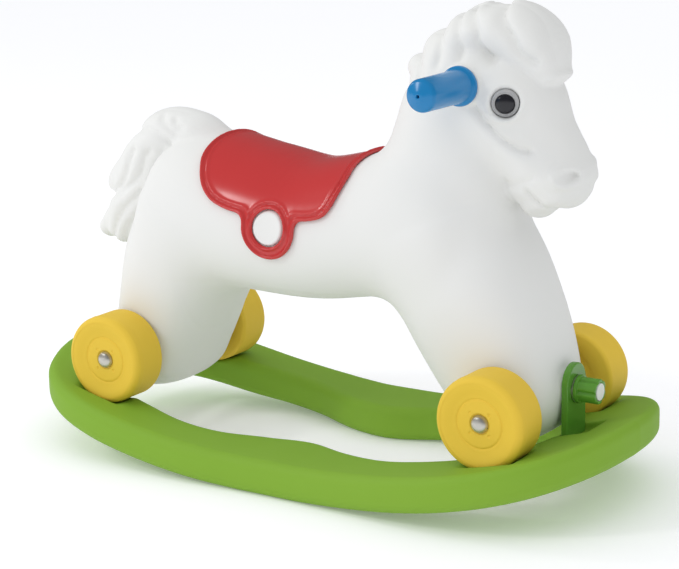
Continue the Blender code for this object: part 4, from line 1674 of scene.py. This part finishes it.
@dataclass
class Handle:
    """A blue grip on each side: collar, tube and coned end with a small hole."""

    horse: Horse
    seat_y: float = 0.0600
    end_y: float = 0.1500
    radius: float = 0.0178
    collar_radius: float = 0.0218

    def profile(self) -> Array:
        """The grip's profile, from the hole in its end, down the cone and the tube, to the collar."""
        end, r = self.end_y, self.radius
        corners = np.array(
            [
                (0.0, end - 0.0060),
                (0.0016, end - 0.0060),
                (0.0017, end - 0.0004),
                (0.0050, end - 0.0010),
                (r - 0.0020, end - 0.0052),
                (r, end - 0.0085),
                (r + 0.0002, end - 0.040),
                (r + 0.0004, self.seat_y + 0.0145),
                (r + 0.0008, self.seat_y + 0.0086),
                (self.collar_radius - 0.0010, self.seat_y + 0.0072),
                (self.collar_radius, self.seat_y + 0.0050),
                (self.collar_radius, self.seat_y + 0.0006),
                (0.0, self.seat_y + 0.0006),
            ]
        )
        return rounded(corners, 0.0016, 6)

    def build(self) -> None:
        """Makes both grips."""
        for word, side in SIDES:
            points, faces = turned(self.profile(), 72)
            placed = stood(points, self.horse.handle, side)
            faces = outward(placed, faces)
            show(f"grip_{word}", placed, faces, Finish.GRIP, "root", (f"handle_grip_{word}",), 40)


@dataclass
class Eyes:
    """A grey ring and a glossy black dome in each of the shell's sockets."""

    horse: Horse
    ring_radius: float = 0.0149
    pupil_radius: float = 0.0104
    height: float = 0.0086

    def ring(self) -> Array:
        """The ring's profile, a groove between two rounded lips."""
        rim, inner, outer = self.height, self.pupil_radius, self.ring_radius
        corners = [
            (0.0, rim - 0.0030),
            (inner + 0.0002, rim - 0.0030),
            (inner + 0.0004, rim - 0.0004),
            (inner + 0.0016, rim),
            (inner + 0.0022, rim - 0.0010),
            (inner + 0.0028, rim - 0.0002),
            (outer - 0.0008, rim - 0.0006),
            (outer, rim - 0.0026),
            (outer, 0.0004),
            (0.0, 0.0004),
        ]
        return rounded(np.array(corners), 0.0007, 4)

    def dome(self) -> Array:
        """The dome's profile, part of an ellipse."""
        share = np.linspace(0, 1, 20)
        top = self.height - 0.0012 + 0.0046 * np.sqrt(1 - 0.995 * share**2)
        return np.vstack([np.column_stack([share * self.pupil_radius, top]), [[0.0, self.height - 0.0028]]])

    def aimed(self, points: Array, side: int) -> Array:
        """Turned points set in the socket on one side: their height runs the way the eye looks, and the
        other two directions are square to it.

        Args:
            points: (n, 3) as (a, b, height).
            side: -1 or +1.

        Returns:
            (n, 3) places.
        """
        way = self.horse.eye_way(side)
        level = np.cross([0.0, 0.0, 1.0], way)
        level /= np.linalg.norm(level)
        middle = np.array(self.horse.eye) * (1, side, 1)
        return middle + points @ np.stack([level, np.cross(way, level), way])

    def build(self) -> None:
        """Makes both eyes."""
        kinds = (
            ("ring", self.ring(), Finish.BEZEL, "bezel"),
            ("pupil", self.dome(), Finish.PUPIL, "dome"),
        )
        for word, side in SIDES:
            for name, profile, finish, node in kinds:
                points, faces = turned(profile, 64)
                placed = self.aimed(points, side)
                faces = outward(placed, faces)
                show(f"eye_{name}_{word}", placed, faces, finish, "root", (f"eye_{node}_{word}",), 60)


# ---- front lock ----------------------------------------------------------------------------------


@dataclass
class FrontLock:
    """The green bracket and the fluted nut that clamps it on the white stud."""

    horse: Horse
    nodes: dict[str, bpy.types.Object]
    bore: float = 0.0100
    radius: float = 0.0140
    flange: float = 0.0042
    flutes: int = 6
    flute_depth: float = 0.0024

    def build(self) -> None:
        """Makes the nut, and dresses the bracket, the stud and the washer."""
        self.nut()
        dress(self.nodes, ["front_bracket"], Finish.LOCK)
        dress(self.nodes, ["lock_stud"], Finish.SHELL)
        dress(self.nodes, ["lock_washer"], Finish.STEEL)

    def nut(self) -> None:
        """A turned flange and body whose radius falls in round flutes: r - depth * max(0, cos(n a))^2."""
        low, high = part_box("lock_nut")
        bore, neck, radius, edge = self.bore, low.x + self.flange, self.radius, (high.z - low.z) / 2
        corners = [
            (bore, high.x - 0.0030),
            (bore, high.x),
            (radius, high.x),
            (radius, neck),
            (edge, neck),
            (edge, low.x),
            (bore, low.x),
            (bore, low.x + 0.0030),
        ]
        profile = rounded(np.array(corners), 0.0010, 5)
        angle = np.linspace(0, 2 * math.pi, 120, endpoint=False)
        r, h = profile[:, 0][:, None], profile[:, 1][:, None]
        body = ease(h, neck - 0.0004, neck + 0.0008) * ease(r, bore + 0.0008, radius - 0.0008)
        r = r - body * self.flute_depth * np.maximum(0, np.cos(self.flutes * angle)) ** 2
        high_z = self.horse.lock_z + r * np.sin(angle)
        points = np.stack([h + 0 * r, r * np.cos(angle), high_z], axis=-1).reshape(-1, 3)
        count = len(angle)
        first = np.arange(count)
        after = (first + 1) % count
        rows = np.arange(len(profile))[:, None] * count
        below = (np.arange(len(profile))[:, None] + 1) % len(profile) * count
        faces = np.stack([rows + first, below + first, below + after, rows + after], axis=-1).reshape(-1, 4)
        faces = outward(points, faces.tolist())
        show("clamp_nut", points, faces, Finish.LOCK, self.nodes["lock_nut"]["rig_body"], ("lock_nut",), 45)


# ---- studio --------------------------------------------------------------------------------------


@dataclass(frozen=True)
class Studio:
    """Pale level floor, soft light, a world that looks white but lights and mirrors less, and the camera.
    A lamp is (name, place, size, power)."""

    azimuth: float = 33.0991
    elevation: float = 13.6871
    roll: float = -0.9887
    distance: float = 2.36568
    target: tuple[float, float, float] = (-0.00293, 0.0, 0.20985)
    lens: float = 107.26
    backdrop: float = 0.97
    world: float = 0.67
    reflected: float = 0.16
    floor_half: float = 40.0
    floor_glow: float = 0.15
    sky_power: float = 0.80
    sky_spread: float = 120.0
    sky_from: tuple[float, float, float] = (-0.22, -0.28, 1.0)
    lamps: tuple[tuple[str, tuple[float, float, float], float, float], ...] = (
        ("key", (-1.9, -2.3, 2.2), 0.4, 16.0),
        ("side", (-2.9, -0.4, 1.9), 0.4, 8.0),
    )
    sensor: float = 36.0
    far_clip: float = 100.0

    def floor(self) -> None:
        """A pale level floor, far larger than the view."""
        corners = np.array([[-1, -1, 0], [1, -1, 0], [1, 1, 0], [-1, 1, 0]]) * self.floor_half
        mesh = bpy.data.meshes.new("floor")
        mesh.from_pydata(corners.tolist(), [], [[0, 1, 2, 3]])
        graph = Graph("pale_floor")
        cloud = graph.noise(graph.place(), 1.4, 2.0)
        graph.feed("Base Color", graph.mix(cloud, (0.925, 0.925, 0.945, 1), (0.935, 0.935, 0.952, 1)))
        graph.constant(Roughness=0.9, Specular_IOR_Level=0.1, Emission_Strength=self.floor_glow)
        mesh.materials.append(graph.material)
        piece = bpy.data.objects.new("floor", mesh)
        bpy.context.scene.collection.objects.link(piece)

    def light(self, name: str, place: tuple[float, float, float], size: float, power: float) -> None:
        """A square soft light that faces the object.

        Args:
            name: of the lamp.
            place: of its middle.
            size: of its side.
            power: in watts.
        """
        lamp = bpy.data.lights.new(name, "AREA")
        lamp.energy = power
        lamp.size = size
        holder = bpy.data.objects.new(name, lamp)
        holder.location = place
        away = Vector(place) - Vector(self.target)
        holder.rotation_euler = away.to_track_quat("Z", "Y").to_euler()
        bpy.context.scene.collection.objects.link(holder)

    def sky_light(self) -> None:
        """A broad soft light from overhead that reaches the whole floor evenly."""
        lamp = bpy.data.lights.new("overhead", "SUN")
        lamp.energy = self.sky_power
        lamp.angle = math.radians(self.sky_spread)
        holder = bpy.data.objects.new("overhead", lamp)
        holder.visible_glossy = False
        holder.rotation_euler = Vector(self.sky_from).to_track_quat("Z", "Y").to_euler()
        bpy.context.scene.collection.objects.link(holder)

    def camera(self) -> None:
        """The camera on its sphere about the target, rolled about its own axis."""
        a, e, r = (math.radians(v) for v in (self.azimuth, self.elevation, self.roll))
        back = Vector((math.sin(a) * math.cos(e), -math.cos(a) * math.cos(e), math.sin(e)))
        right = Vector((math.cos(a), math.sin(a), 0))
        up = back.cross(right)
        right, up = math.cos(r) * right + math.sin(r) * up, math.cos(r) * up - math.sin(r) * right
        lens = bpy.data.cameras.new("camera")
        lens.lens = self.lens
        lens.sensor_width = self.sensor
        lens.clip_end = self.far_clip
        holder = bpy.data.objects.new("camera", lens)
        turn = Matrix((right, up, back)).transposed().to_4x4()
        holder.matrix_world = Matrix.Translation(Vector(self.target) + self.distance * back) @ turn
        bpy.context.scene.collection.objects.link(holder)
        bpy.context.scene.camera = holder

    def build(self) -> None:
        """Makes the floor, the lights, the world and the camera."""
        self.floor()
        self.sky_light()
        for lamp in self.lamps:
            self.light(*lamp)
        self.surroundings()
        self.camera()

    def surroundings(self) -> None:
        """The world: white to the camera, and otherwise world + (reflected - world) on glossy rays."""
        world = bpy.data.worlds.new("studio")
        world.use_nodes = True
        tree = world.node_tree
        seen, lit = tree.nodes["Background"], tree.nodes.new("ShaderNodeBackground")
        seen.inputs["Color"].default_value = (1.0, 1.0, 1.0, 1.0)
        seen.inputs["Strength"].default_value = self.backdrop
        lit.inputs["Color"].default_value = (0.97, 0.985, 1.0, 1.0)
        ray, join = tree.nodes.new("ShaderNodeLightPath"), tree.nodes.new("ShaderNodeMixShader")
        dim = tree.nodes.new("ShaderNodeMath")
        dim.operation = "MULTIPLY_ADD"
        dim.inputs[1].default_value = self.reflected - self.world
        dim.inputs[2].default_value = self.world
        tree.links.new(ray.outputs["Is Glossy Ray"], dim.inputs[0])
        tree.links.new(dim.outputs[0], lit.inputs["Strength"])
        tree.links.new(ray.outputs["Is Camera Ray"], join.inputs[0])
        tree.links.new(lit.outputs[0], join.inputs[1])
        tree.links.new(seen.outputs[0], join.inputs[2])
        tree.links.new(join.outputs[0], tree.nodes["World Output"].inputs["Surface"])
        bpy.context.scene.world = world
        bpy.context.scene.view_settings.view_transform = "Standard"


def main() -> None:
    """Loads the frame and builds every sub-assembly in order."""
    logging.basicConfig(level=logging.INFO, format="%(message)s")
    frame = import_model()
    nodes = frame["nodes"]
    Studio().build()
    horse = Horse()
    horse.build()
    Saddle(horse).build()
    Rocker(horse).build()
    Wheels(horse, nodes).build()
    Handle(horse).build()
    Eyes(horse).build()
    FrontLock(horse, nodes).build()
    bare = ("axle_front", "axle_rear", "wheel_washer", "handle_rod")
    dress(nodes, sorted(name for name in nodes if name.startswith(bare)), Finish.STEEL)


if __name__ == "__main__":
    main()
